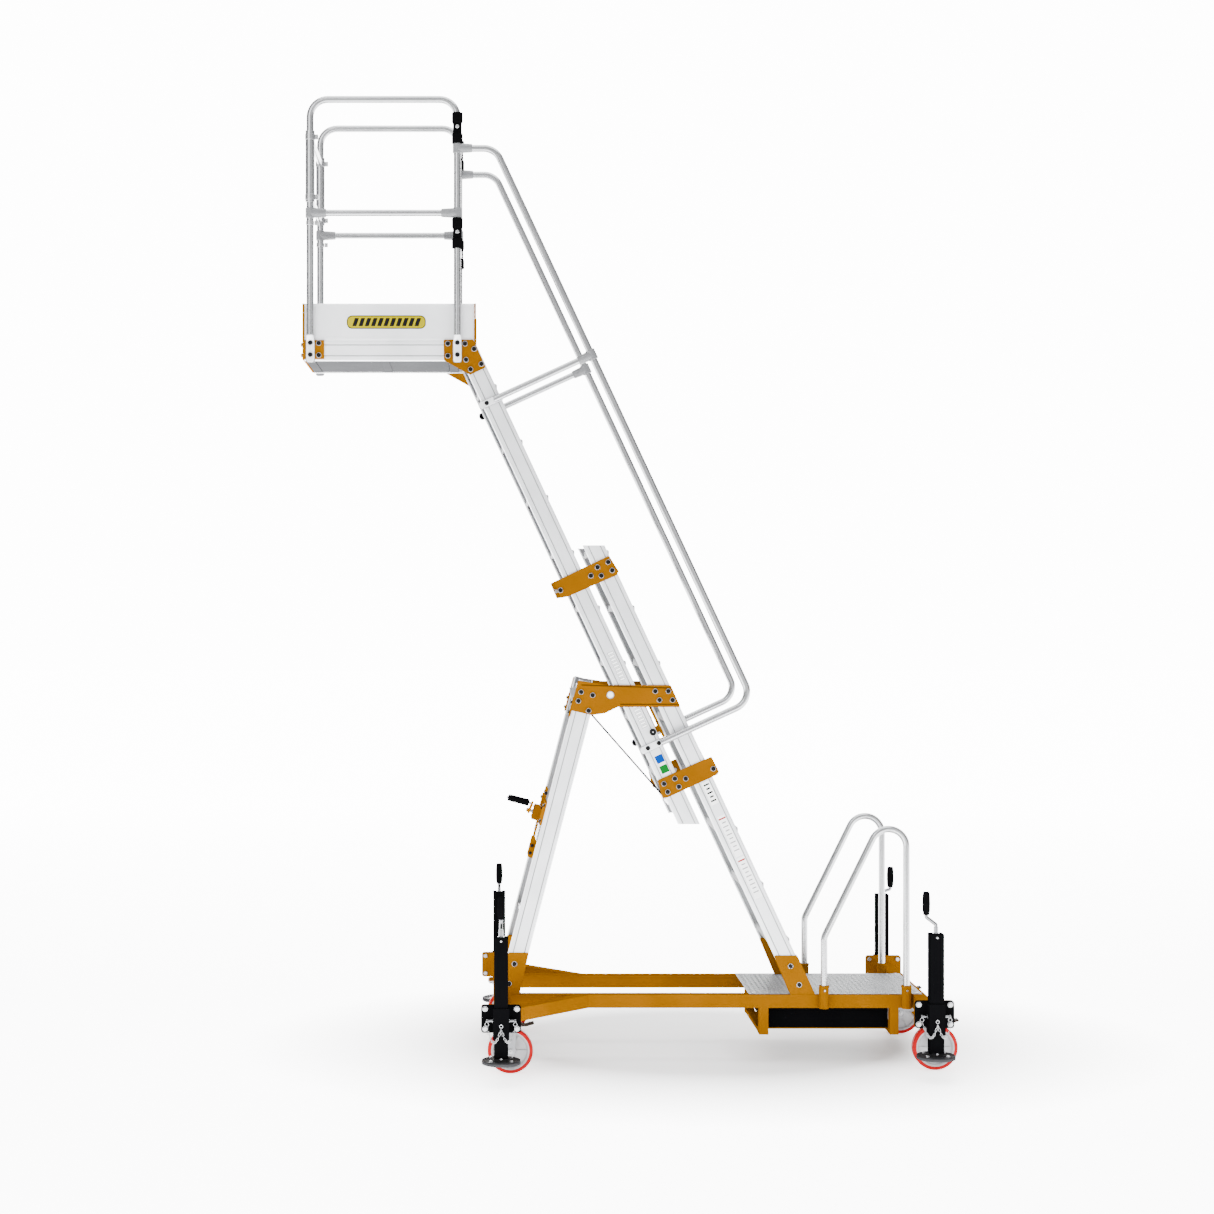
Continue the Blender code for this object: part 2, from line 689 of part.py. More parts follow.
def front_end_frame():
    outer = PLATE_Y[1]
    wall = (PLATFORM_FRONT - 0.008, PLATFORM_FRONT - GAP)
    parts = [box(wall, (-outer, outer), (3.169, TOE_TOP))]
    for y_range in both_sides(PLATE_Y).values():
        parts.append(box((wall[0] + 0.002, -1.364), y_range, (3.170, 3.2545)))
    return union(*parts)


def gusset_bracket(side):
    y_range = both_sides(PLATE_Y)[side]
    outline = [(-0.826, 3.257), (-0.693, 3.257), (-0.636, 3.133), (-0.707, 3.099), (-0.824, 3.164)]
    plate = soft_plate(outline, y_range)
    flange_x = (TOE_END + GAP, TOE_END + 0.009)
    flange = box(flange_x, both_sides((0.240, PLATE_Y[1] - 0.0005))[side], (DECK_Z + SINK, TOE_TOP))
    tab_y = both_sides((PLATE_Y[0] + 0.001, PLATE_Y[1] - 0.001))[side]
    tab = box((flange_x[0] + 0.001, flange_x[1] - 0.001), tab_y, (3.222, 3.270))
    return union(plate, flange, tab)


def guardrail(side):
    y = RAIL_AXIS_Y * sided(side)
    left_x, right_x = POST_X
    corners = [(left_x, y, POST_BOTTOM), (left_x, y, TOP_RAIL_Z)]
    corners += [(right_x, y, TOP_RAIL_Z), (right_x, y, POST_BOTTOM)]
    hoop = sweep(rounded(corners, BEND, 4), RAIL_RADIUS, (0.0, 1.0, 0.0), 8)
    mid_rail = [(left_x, y, MID_RAIL_Z), (right_x, y, MID_RAIL_Z)]
    parts = [sweep(mid_rail, RAIL_RADIUS * 0.96, (0.0, 1.0, 0.0), 8)]
    for i, (low, high) in enumerate(HINGE_BLOCKS):
        x_range = (right_x - 0.0225, right_x + 0.0225)
        parts.append(box(x_range, both_sides((0.2745, 0.3205))[side], (low, high)))
        lug_x = (right_x - 0.0160, right_x + 0.0160)
        lug = (low + 0.001, low + 0.031) if i == 0 else (high - 0.030, high - 0.001)
        parts.append(box(lug_x, both_sides((0.2440, 0.2760))[side], lug))
    return union(hoop, *parts)


def gate(side):
    """One leaf: a closed tube loop that hangs between the lugs of two hinge blocks."""
    outer = GATE_AXIS_Y * sided(side)
    inner = 0.020 * sided(side)
    low = HINGE_BLOCKS[0][0] + 0.031 + 0.0005 + GATE_RADIUS
    high = HINGE_BLOCKS[1][1] - 0.030 - 0.0005 - GATE_RADIUS
    corners = [(POST_X[1], outer, low), (POST_X[1], outer, high)]
    corners += [(POST_X[1], inner, high), (POST_X[1], inner, low)]
    return sweep(rounded(corners, 0.040, 3, True), GATE_RADIUS, (1.0, 0.0, 0.0), 6, True)


def strap(start, end, side):
    """The flattened tube end that lies on a stile's outer face."""
    start, end = Vector(start), Vector(end)
    along = (end - start).normalized()
    wide = Vector((-along.z, 0.0, along.x)) * RAIL_RADIUS
    corners = [start - wide, end - wide, end + wide, start + wide]
    return prism([(c.x, c.z) for c in corners], both_sides((PLATE_Y[0], PLATE_Y[1] + 0.003))[side])


def handrail(side):
    y = RAIL_AXIS_Y * sided(side)
    start = (POST_X[1] + RAIL_RADIUS + GAP, y, 4.115)
    upper = (-0.594, y, 4.115)
    lower_z = 1.633
    lower = (-0.2755 + (3.4326 - lower_z) * UP.x / -UP.z, y, lower_z)
    tail = (0.150, y, 1.444)
    main = sweep(rounded([start, upper, lower, tail], BEND, 4), RAIL_RADIUS, (0.0, 1.0, 0.0), 8)
    brace = sweep([(-0.600, y, 2.985), (-0.160, y, 3.1863)], RAIL_RADIUS * 0.97, (0.0, 1.0, 0.0), 8)
    tail_strap = strap((0.066, 0.0, 1.404), (0.174, 0.0, 1.4545), side)
    brace_strap = strap((-0.661, 0.0, 2.957), (-0.555, 0.0, 3.0055), side)
    return union(main, brace, tail_strap, brace_strap)


def front_guard():
    """Two cross bars between sleeves that clamp round the front posts."""
    x = POST_X[0]
    span = RAIL_AXIS_Y - 0.018
    parts = []
    for side in (-1, 1):
        y = RAIL_AXIS_Y * side
        sleeve = rod((x, y, 3.872), (x, y, 4.193), 0.0205, 12)
        bore = rod((x, y, 3.800), (x, y, 4.250), 0.0174, 12)
        parts.append(cut(sleeve, bore))
    for level in FRONT_BARS:
        parts.append(rod((x, -span, level), (x, span, level), 0.0125))
    return union(*parts)


def latch():
    """A bowed stay on a cross shaft, which drops between the fixed section's treads."""
    at = LATCH_AXIS

    def spot(front, up):
        point = at + FRONT * (front - 0.027) + UP * up
        return (point.x, point.z)

    outline = [(0.014, -0.014), (0.060, -0.014), (0.060, -0.045), (0.072, -0.045), (0.072, 0.125), (0.060, 0.125)]
    outline += [(0.060, 0.016), (0.044, 0.012), (0.014, 0.012)]
    outline = [spot(front, up) for front, up in outline]
    parts = [prism(outline, y_range) for y_range in both_sides((0.228, 0.236)).values()]
    bar = [spot(front, up) for front, up in ((0.061, 0.104), (0.071, 0.104), (0.071, 0.124), (0.061, 0.124))]
    parts.append(prism(bar, (-0.232, 0.232)))
    shaft = rod((at.x, -0.2820, at.z), (at.x, 0.2820, at.z), 0.0068)
    for y_range in both_sides((LADDER_HALF + LOOSE, 0.2832)).values():
        parts.append(rod((at.x, y_range[0], at.z), (at.x, y_range[1], at.z), 0.0135))
    return union(shaft, *parts)


# Jacks and casters
def jack_y(x):
    span = REAR_BEAM_SPAN if x == REAR_X else FRONT_BEAM_SPAN
    return span + JACK_STANDOFF


def square(x, y, half, z_range):
    return box((x - half, x + half), (y - half, y + half), z_range)


def jack_body(x, side):
    y = jack_y(x)
    span = y - JACK_STANDOFF
    half = JACK_TUBE / 2
    plate = both_sides((span + 0.007 + GAP, y - half + SINK))["left" if side < 0 else "right"]
    tube = square(x, y * side, half, (JACK_BOTTOM, JACK_TOP))
    collar = square(x, y * side, half + 0.005, (0.205, 0.336))
    body = union(tube, collar, soft_plate(mount_outline(x), plate, MOUNT_CORNER))
    bore = square(x, y * side, half - STILE_WALL, (JACK_BOTTOM - 0.050, JACK_TOP - 0.005))
    neck = rod((x, y * side, JACK_TOP - 0.020), (x, y * side, JACK_TOP + 0.020), 0.0105)
    return cut(body, bore, neck)


def jack_leg(x, side):
    y = jack_y(x) * side
    half = JACK_TUBE / 2 - STILE_WALL - LOOSE
    post = square(x, y, half, (FOOT_BOTTOM + 0.010, 0.560))
    profile = [(FOOT_RADIUS - 0.003, 0.0), (FOOT_RADIUS, 0.003), (FOOT_RADIUS, 0.017)]
    foot = turned(profile, (x, y, FOOT_BOTTOM), (0.0, 0.0, 1.0), 20)
    bore = square(x, y, half - STILE_WALL, (0.125, 0.600))
    return cut(union(post, foot), bore)


def jack_crank(x, side, heading):
    y = jack_y(x) * side
    angle = math.radians(heading)
    out = Vector((math.cos(angle), math.sin(angle), 0.0))
    collar, low, high = CRANK_LEVELS[side]
    steps = [(0.0, 0.300, 0.0070), (0.0, 0.6000, 0.0070), (0.0, 0.6010, 0.0090), (0.0, collar, 0.0090)]
    steps += [(0.0, collar + 0.001, 0.0065), (0.0, low, 0.0065), (CRANK_OFFSET, high, 0.0065)]
    for rise, radius in (*CRANK_GRIP, (0.107, 0.0120)):
        steps.append((CRANK_OFFSET, high + rise, radius))
    path = [Vector((x, y, z)) + out * offset for offset, z, _ in steps]
    across = out.cross(Vector((0.0, 0.0, 1.0)))
    return sweep(path, [radius for _, _, radius in steps], across, 8)


def caster_fork(x, y):
    head = turned([(0.036, 0.0), (0.036, 0.020)], (x, y, 0.2220), (0.0, 0.0, 1.0), 12)
    parts = [box((x - 0.030, x + 0.074), (y - 0.0290, y + 0.0290), (0.2045, 0.2235))]
    axle_x = x + CASTER_TRAIL
    outline = [(x - 0.026, 0.2225), (x + 0.073, 0.2225), (axle_x + 0.020, 0.100), (axle_x + 0.014, 0.084)]
    outline += [(axle_x - 0.014, 0.084), (axle_x - 0.020, 0.100)]
    for low, high in ((-0.0300, -0.0260), (0.0260, 0.0300)):
        parts.append(prism(outline, (y + low, y + high)))
    axle = rod((axle_x, y - 0.0330, WHEEL_RADIUS), (axle_x, y + 0.0330, WHEEL_RADIUS), 0.0065)
    return union(head, *parts, axle)


def caster_wheel(x, y):
    profile = [(0.0072, -0.0240), (0.0240, -0.0240), (0.0280, -0.0100), (0.0790, -0.0100), (0.0820, -WHEEL_HALF)]
    rim = WHEEL_RADIUS / math.cos(math.pi / WHEEL_SIDES)
    profile += [(0.0965, -WHEEL_HALF), (rim, -0.0170)]
    profile += [(radius, -height) for radius, height in reversed(profile)]
    centre = (x + CASTER_TRAIL, y, WHEEL_RADIUS)
    return turned(profile, centre, (0.0, 1.0, 0.0), WHEEL_SIDES, True)


def caster_pedal(x, y):
    pivot_x, pivot_z = PEDAL_PIVOT
    start = x + pivot_x
    outline = [(start - 0.004, pivot_z - 0.0060), (start + 0.030, pivot_z - 0.0060), (x + 0.147, 0.2180)]
    outline += [(x + 0.145, 0.2240), (start + 0.028, pivot_z + 0.0020), (start - 0.004, pivot_z + 0.0060)]
    return prism(outline, (y - 0.022, y + 0.022))


def build_chassis():
    node("chassis_frame", chassis_frame(), "orange_paint")
    node("counterweight", counterweight(), "black_paint")
    node("deck_plate", deck_plate(), "checker_plate")
    node("lower_ladder_section", lower_ladder_section(), "aluminium")
    node("rear_leg_frame", rear_leg_frame(), "aluminium")
    for side, y_range in both_sides(PLATE_Y).items():
        node(f"head_plate_{side}", head_plate(y_range), "orange_paint")
        node(f"upper_guide_bracket_{side}", upper_guide_bracket(y_range), "orange_paint")
        node(f"low_handrail_{side}", low_handrail(sided(side)), "aluminium")
    node("winch_frame", winch_frame(), "orange_paint")
    node("lift_rope", lift_rope(), "steel_rope")
    drum_axis = pivot("winch_drum_axis", leg_point(WINCH_Z, DRUM_BACK))
    node("winch_drum", winch_drum(), "zinc", drum_axis)
    crank_axis = pivot("winch_crank_axis", leg_point(WINCH_Z, CRANK_BACK))
    node("winch_crank", winch_crank(), "black_plastic", crank_axis)
    node("head_pulley", head_pulley(), "zinc", pivot("head_pulley_axis", PULLEY_AXIS))
    rollers = guide_rollers(UPPER_ROLLER, 0.0140, 0.0060)
    node("upper_guide_rollers", rollers, "roller_plastic", pivot("upper_roller_axis", UPPER_ROLLER))


def build_sliding_section():
    slide = pivot("ladder_slide_axis", SLIDING_AXIS)
    node("upper_ladder_section", upper_ladder_section(), "aluminium", slide)
    node("platform_frame", platform_frame(), "aluminium", slide)
    node("platform_deck", platform_deck(), "checker_plate", slide)
    node("front_end_frame", front_end_frame(), "orange_paint", slide)
    node("front_guard", front_guard(), "aluminium", slide)
    for side, y_range in both_sides(PLATE_Y).items():
        node(f"lower_guide_bracket_{side}", lower_guide_bracket(y_range), "orange_paint", slide)
        node(f"toe_board_{side}", toe_board(side), "aluminium", slide)
        node(f"gusset_bracket_{side}", gusset_bracket(side), "orange_paint", slide)
        node(f"guardrail_{side}", guardrail(side), "aluminium", slide)
        node(f"handrail_{side}", handrail(side), "aluminium", slide)
        hinge = pivot(f"gate_{side}_axis", (POST_X[1], GATE_AXIS_Y * sided(side), MID_RAIL_Z), slide)
        node(f"gate_{side}", gate(side), "aluminium", hinge)
    rollers = guide_rollers(LOWER_ROLLER, 0.0165, 0.0040)
    node("lower_guide_rollers", rollers, "roller_plastic", pivot("lower_roller_axis", LOWER_ROLLER, slide))
    node("latch", latch(), "orange_paint", pivot("latch_axis", LATCH_AXIS, slide))


def build_jacks():
    for name, (x, side, heading) in JACKS.items():
        y = jack_y(x) * side
        node(f"jack_body_{name}", jack_body(x, side), "black_paint")
        axis = pivot(f"jack_axis_{name}", (x, y, FOOT_BOTTOM))
        node(f"jack_leg_{name}", jack_leg(x, side), "black_paint", axis)
        node(f"jack_crank_{name}", jack_crank(x, side, heading), "black_plastic", axis)


def build_casters():
    for name, (x, side, _) in JACKS.items():
        y = CASTER_Y[x] * side
        swivel = pivot(f"caster_swivel_{name}", (x, y, RAIL_BOTTOM))
        node(f"caster_fork_{name}", caster_fork(x, y), "zinc", swivel)
        axle = pivot(f"caster_axle_{name}", (x + CASTER_TRAIL, y, WHEEL_RADIUS), swivel)
        node(f"caster_wheel_{name}", caster_wheel(x, y), "wheel", axle)
        hinge = pivot(f"caster_pedal_axis_{name}", (x + PEDAL_PIVOT[0], y, PEDAL_PIVOT[1]), swivel)
        node(f"caster_pedal_{name}", caster_pedal(x, y), "zinc", hinge)


def main():
    clear_scene()
    for name, (colour, roughness, metallic) in FINISHES.items():
        make_material(name, colour, roughness, metallic)
    build_chassis()
    build_sliding_section()
    build_jacks()
    build_casters()


main()
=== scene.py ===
"""Looks of the winch-raised access platform: fine meshes, materials, a pale floor and soft light."""

import json
import math

import bmesh
import bpy
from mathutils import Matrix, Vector


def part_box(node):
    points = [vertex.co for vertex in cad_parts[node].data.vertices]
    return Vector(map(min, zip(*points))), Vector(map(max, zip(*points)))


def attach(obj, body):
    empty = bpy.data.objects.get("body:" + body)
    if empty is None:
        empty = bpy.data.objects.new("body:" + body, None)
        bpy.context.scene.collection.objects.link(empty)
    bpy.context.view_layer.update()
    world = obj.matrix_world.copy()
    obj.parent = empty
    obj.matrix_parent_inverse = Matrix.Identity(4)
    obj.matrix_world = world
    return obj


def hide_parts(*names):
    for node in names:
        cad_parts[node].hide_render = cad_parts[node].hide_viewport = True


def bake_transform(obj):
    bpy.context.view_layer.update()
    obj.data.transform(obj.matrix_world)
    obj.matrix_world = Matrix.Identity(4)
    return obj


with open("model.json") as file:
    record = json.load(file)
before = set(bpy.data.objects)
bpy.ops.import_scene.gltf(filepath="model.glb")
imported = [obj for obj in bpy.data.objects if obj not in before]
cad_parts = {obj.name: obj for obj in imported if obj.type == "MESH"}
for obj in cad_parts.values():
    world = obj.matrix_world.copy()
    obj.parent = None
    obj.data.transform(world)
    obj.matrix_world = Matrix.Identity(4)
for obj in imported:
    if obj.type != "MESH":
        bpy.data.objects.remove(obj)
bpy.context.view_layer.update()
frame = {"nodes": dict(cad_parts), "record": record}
RECORD = frame["record"]
JOINTS = {joint["child"]: joint for joint in RECORD["behaviour"]["joints"]}
SIDES = {"left": -1, "right": 1}
BOTH = tuple(SIDES.values())
CORNERS = ("rear_left", "rear_right", "front_left", "front_right")
FIXED, SLIDING, LEGS = "lower_ladder_section", "upper_ladder_section", "rear_leg_frame"

# Directions along and across the ladder and the rear legs
X, Y, Z = Vector((1, 0, 0)), Vector((0, 1, 0)), Vector((0, 0, 1))
SLOPE = math.radians(65.0)
UP = Vector((-math.cos(SLOPE), 0.0, math.sin(SLOPE)))
FRONT = Vector((math.sin(SLOPE), 0.0, math.cos(SLOPE)))
LEG_SLOPE = math.radians(75.4)
LEG_UP = Vector((math.cos(LEG_SLOPE), 0.0, math.sin(LEG_SLOPE)))
LEG_BACK = Vector((-math.sin(LEG_SLOPE), 0.0, math.cos(LEG_SLOPE)))

# Stiles and treads
STILE_HALF, STILE_WIDTH, STILE_WALL = 0.0445, 0.030, 0.0035
GROOVES = (-0.0235, 0.0260)
CLEARANCE = {FIXED: 0.0, SLIDING: 0.0008}
TREADS, TREAD_PITCH = 8, 0.250
FIRST_TREAD_DROP = 0.020 + (TREADS - 1) * TREAD_PITCH
FIRST_TREAD_RISE = 0.2365
LEG_CROSSBARS = (0.640, 0.937, 1.680)

# Tubes and plates
RAIL_R, BRACE_R, GATE_R, LOW_RAIL_R = 0.016, 0.0150, 0.0125, 0.015
BEND = 0.080
SHEET = 0.006
SKIN = 0.0003
CHECK_PITCH, CHECK_RISE = 0.0225, 0.0013
CHANNEL_MITRE = 0.057
PLATFORM_BARS = ((-1.450, -1.410), (-1.115, -1.075), (-0.805, -0.765))

# Heights and places of the fittings
HINGE_BLOCKS = ((3.665, 3.800), (4.135, 4.274))
HANDRAIL_TEE = 4.115
HANDRAIL_BACK = (-0.2755, 3.4326)
HANDRAIL_TAIL_Z = 1.633
HANDRAIL_END = (0.150, 1.444)
HANDRAIL_STRAPS = (((0.072, 1.4068), (0.162, 1.4489)), ((-0.655, 2.9597), (-0.570, 2.9987)))
HANDRAIL_BOLTS = ((0.094, 1.417), (0.143, 1.440), (-0.632, 2.971), (-0.583, 2.994))
BRACE = ((-0.600, 2.985), (-0.180, 3.1772))
GUARD_BARS = (3.895, 4.165)
POST_BOLTS = (3.242, 3.188)
HEAD_LIP_BOLTS = (1.567, 1.611)
HEAD_HOLE = (-0.075, 1.657)
# Where the strips of painted shade run across the head plates
HEAD_FOLD_SHADES = (((-0.205, 1.7045), (0.196, 1.6905)), ((-0.030, 1.6170), (0.232, 1.6170)))
END_FRAME_BOLTS = (3.235, 3.188)
BOLT_HEAD, BOLT_WASHER = 0.0185, 0.0122
BRACKET_BOLTS = {
    "upper_guide_bracket": ("chassis", ((-0.163, 2.194), (-0.116, 2.194), (-0.133, 2.232), (-0.085, 2.255),
                                        (-0.067, 2.218), (-0.300, 2.128))),
    "lower_guide_bracket": ("upper_section", ((0.166, 1.257), (0.183, 1.220), (0.215, 1.280), (0.233, 1.244),
                                              (0.264, 1.280), (0.388, 1.325))),
    "head_plate": ("chassis", ((-0.207, 1.670), (-0.219, 1.630), (-0.155, 1.656), (-0.173, 1.586),
                               (0.127, 1.674), (0.186, 1.674), (0.146, 1.634), (0.205, 1.634))),
    "foot_bracket": ("chassis", ((0.736, 0.436), (0.775, 0.352), (-0.507, 0.446), (-0.531, 0.357))),
    "gusset": ("upper_section", ((-0.807, 3.239), (-0.807, 3.184), (-0.730, 3.239), (-0.689, 3.215),
                                 (-0.725, 3.166), (-0.656, 3.147), (-0.705, 3.123))),
    "corner": ("upper_section", ((-1.388, 3.241), (-1.388, 3.187))),
}

# Winch, rope, jacks and casters
PULLEY_ROPE_R, DRUM_ROPE_R = 0.0275, 0.0235
ROPE_R, ROPE_TURNS = 0.0046, 22
CRANK_REACH, CRANK_ARM = 0.037, 0.150
WINCH_DEPTH = 0.067
JACK_PLATE_Z, JACK_CHAIN_Z = 0.282, 0.268
JACK_BOLTS = (0.0685, 0.0425)
JACK_SEAMS = (0.336, 0.205)
JACK_HALF = 0.030
CRANK_OFFSET = 0.042
CRANK_DROPS = {"near": (0.219, 0.142, 0.151), "far": (0.172, 0.123, 0.132)}
SCREW_TURNS, SCREW_LEAD = 46, 0.006
FOOT_BOLT_CIRCLE = 0.062
WHEEL_R, WHEEL_HALF, TYRE_ROUND = 0.100, 0.0225, 0.0065
CASTER_PLATE = (0.2395, 0.2445)
WEIGHT_BANDS = (0.176, 0.224)
CHASSIS_RAIL = {"outer": 0.283, "inner": 0.233, "bottom": 0.248, "top": 0.308}


def low(name):
    return Vector(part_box(name)[0])


def high(name):
    return Vector(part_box(name)[1])


def middle(name):
    return (low(name) + high(name)) / 2


def pivot(body):
    return Vector(JOINTS[body]["pos_m"])


# Outlines
def arc(centre, radius, start, end, steps):
    """Points of an arc about a centre, with its angles in degrees."""
    points = []
    for i in range(steps + 1):
        angle = math.radians(start + (end - start) * i / steps)
        points.append((centre[0] + radius * math.cos(angle), centre[1] + radius * math.sin(angle)))
    return points


def round_rect(width, height, radius, steps=4):
    """The outline of a rounded rectangle about its middle."""
    outline = []
    for quarter, (sx, sz) in enumerate(((1, 1), (-1, 1), (-1, -1), (1, -1))):
        centre = (sx * (width / 2 - radius), sz * (height / 2 - radius))
        outline += arc(centre, radius, 90 * quarter, 90 * (quarter + 1), steps)
    return outline


def rounded(points, radius, steps=9, closed=False):
    """The corners of a path, each replaced by an arc."""
    points = [Vector(point) for point in points]
    count = len(points)
    path = []
    for i, corner in enumerate(points):
        if not closed and i in (0, count - 1):
            path.append(corner)
            continue
        back = (points[i - 1] - corner).normalized()
        ahead = (points[(i + 1) % count] - corner).normalized()
        half = back.angle(ahead) / 2
        centre = corner + (back + ahead).normalized() * (radius / math.sin(half))
        start = corner + back * (radius / math.tan(half)) - centre
        end = corner + ahead * (radius / math.tan(half)) - centre
        turn = start.angle(end)
        for step in range(steps + 1):
            share = step / steps
            first = math.sin((1 - share) * turn) / math.sin(turn)
            second = math.sin(share * turn) / math.sin(turn)
            path.append(centre + start * first + end * second)
    return path


def circle(centre, a, b, radius, count=16):
    """The points of a circle in the plane of two axes."""
    turns = [2 * math.pi * k / count for k in range(count)]
    return [centre + a * radius * math.cos(angle) + b * radius * math.sin(angle) for angle in turns]


def refine(path, step):
    """A path with points no more than about a step apart."""
    fine = []
    for a, b in zip(path, path[1:]):
        count = max(1, round((b - a).length / step))
        fine += [a + (b - a) * (i / count) for i in range(count)]
    return fine + [path[-1]]


def slanted(point, along, level):
    """The point of a sloping line at a height."""
    return point + along * ((level - point.z) / along.z)


def helix(start, a, b, radius, rise, turns, count):
    """Points that wind round an axis and move along by rise in each turn."""
    points = []
    for i in range(turns * count + 1):
        angle = 2 * math.pi * i / count
        spoke = a * math.cos(angle) + b * math.sin(angle)
        points.append(start + spoke * radius + rise * (i / count))
    return points


def mirrored(half, middle=()):
    """A profile of (radius, height) from its upper half, with the middle between the halves."""
    return [(radius, -height) for radius, height in half] + list(middle) + half[::-1]


# Shapes
class Shape:
    """Points and faces gathered from simple solids."""

    def __init__(self):
        self.points = []
        self.faces = []

    def loft(self, rings, closed=False):
        base = len(self.points)
        size = len(rings[0])
        count = len(rings)
        for ring in rings:
            self.points += [tuple(point) for point in ring]
        for a in range(count if closed else count - 1):
            b = (a + 1) % count
            for i in range(size):
                j = (i + 1) % size
                face = (a * size + i, a * size + j, b * size + j, b * size + i)
                self.faces.append([base + k for k in face])
        if not closed:
            self.faces.append([base + i for i in reversed(range(size))])
            self.faces.append([base + (count - 1) * size + i for i in range(size)])
        return self

    def box(self, lo, hi):
        ring = ((lo[0], lo[1]), (hi[0], lo[1]), (hi[0], hi[1]), (lo[0], hi[1]))
        return self.loft([[(x, y, z) for x, y in ring] for z in (lo[2], hi[2])])

    def block(self, centre, axes, sizes):
        """A box along three axes about a centre."""
        a, b, c = (Vector(axis).normalized() * size / 2 for axis, size in zip(axes, sizes))
        corners = (-a - b, a - b, a + b, b - a)
        return self.loft([[Vector(centre) + corner + lift for corner in corners] for lift in (-c, c)])

    def slab(self, outline, y_range, centre=(0.0, 0.0)):
        """An outline in X and Z about a centre, drawn out along Y."""
        return self.loft([[(centre[0] + u, y, centre[1] + v) for u, v in outline] for y in y_range])

    def prism(self, outline, centre, levels):
        """An outline in X and Y about a centre, drawn out along Z."""
        return self.loft([[(centre[0] + u, centre[1] + v, z) for u, v in outline] for z in levels])

    def turned(self, profile, centre, axis, sides=32, closed=False):
        """A profile of (radius, height) turned about an axis."""
        turn = Z.rotation_difference(Vector(axis).normalized()).to_matrix()
        rings = []
        for radius, height in profile:
            ring = []
            for i in range(sides):
                angle = 2 * math.pi * (i + 0.5) / sides
                reach = max(radius, 1e-5)
                spoke = Vector((reach * math.cos(angle), reach * math.sin(angle), height))
                ring.append(Vector(centre) + turn @ spoke)
            rings.append(ring)
        return self.loft(rings, closed)

    def rod(self, start, end, radius, sides=24, chamfer=0.0008):
        start, end = Vector(start), Vector(end)
        length = (end - start).length
        chamfer = min(chamfer, length / 3, radius / 2)
        profile = [(radius - chamfer, 0.0), (radius, chamfer), (radius, length - chamfer)]
        return self.turned(profile + [(radius - chamfer, length)], start, end - start, sides)

    def pipe(self, start, end, outer, inner, sides=24, edge=0.0008):
        length = (Vector(end) - Vector(start)).length
        profile = [(inner, 0.0), (outer - edge, 0.0), (outer, edge), (outer, length - edge)]
        profile += [(outer - edge, length), (inner, length)]
        return self.turned(profile, start, Vector(end) - Vector(start), sides, True)

    def tube(self, path, radius, sides=20, closed=False):
        """A round tube along a path."""
        path = [Vector(point) for point in path]
        count = len(path)
        side = None
        rings = []
        for i, point in enumerate(path):
            before = path[i - 1] if i or closed else None
            after = path[(i + 1) % count] if i + 1 < count or closed else None
            into = (point - before).normalized() if before is not None else (after - point).normalized()
            out = (after - point).normalized() if after is not None else into
            along = (into + out).normalized()
            if side is None:
                side = along.orthogonal()
            side = (side - along * side.dot(along)).normalized()
            rings.append(circle(point, side, along.cross(side), radius, sides))
        return self.loft(rings, closed)

    def bolt(self, centre, axis, size=0.0165, height=0.0065, washer=0.0105, under=None):
        """A washer and a hexagon head with a rounded top. The washer may go to a shape of its own."""
        axis = Vector(axis).normalized()
        centre = Vector(centre)
        if washer:
            profile = [(washer, 0.0), (washer, 0.0012), (washer - 0.0005, 0.0016)]
            (under or self).turned(profile, centre, axis, 20)
            centre = centre + axis * 0.0014
        radius = size / math.sqrt(3)
        profile = [(radius, 0.0), (radius, height * 0.75), (radius * 0.86, height)]
        return self.turned(profile, centre, axis, 6)

    def button(self, centre, axis, radius=0.009, height=0.005):
        """A domed head."""
        profile = [(radius, 0.0), (radius, height * 0.3)]
        profile += [(radius * u, height * (0.3 + 0.7 * v)) for u, v in arc((0, 0), 1.0, 0, 90, 4)[1:]]
        return self.turned(profile, centre, axis, 20)


# Materials
def ramp(nodes, links, source, given, wanted):
    """Maps a value from one range onto another."""
    node = nodes.new("ShaderNodeMapRange")
    node.inputs["From Min"].default_value, node.inputs["From Max"].default_value = given
    node.inputs["To Min"].default_value, node.inputs["To Max"].default_value = wanted
    links.new(source, node.inputs["Value"])
    return node.outputs["Result"]


def noise(nodes, links, coords, scale, detail=4.0, stretch=(1.0, 1.0, 1.0), turn=0.0):
    mapping = nodes.new("ShaderNodeMapping")
    mapping.inputs["Scale"].default_value = stretch
    mapping.inputs["Rotation"].default_value = (0.0, turn, 0.0)
    texture = nodes.new("ShaderNodeTexNoise")
    texture.inputs["Scale"].default_value = scale
    texture.inputs["Detail"].default_value = detail
    links.new(coords, mapping.inputs["Vector"])
    links.new(mapping.outputs["Vector"], texture.inputs["Vector"])
    return texture.outputs["Fac"]


CLOUD_SCALE = 6.0
NOISE_RANGE = (0.3, 0.7)
STAIN = 0.08
GLOSS_SWING = 0.15


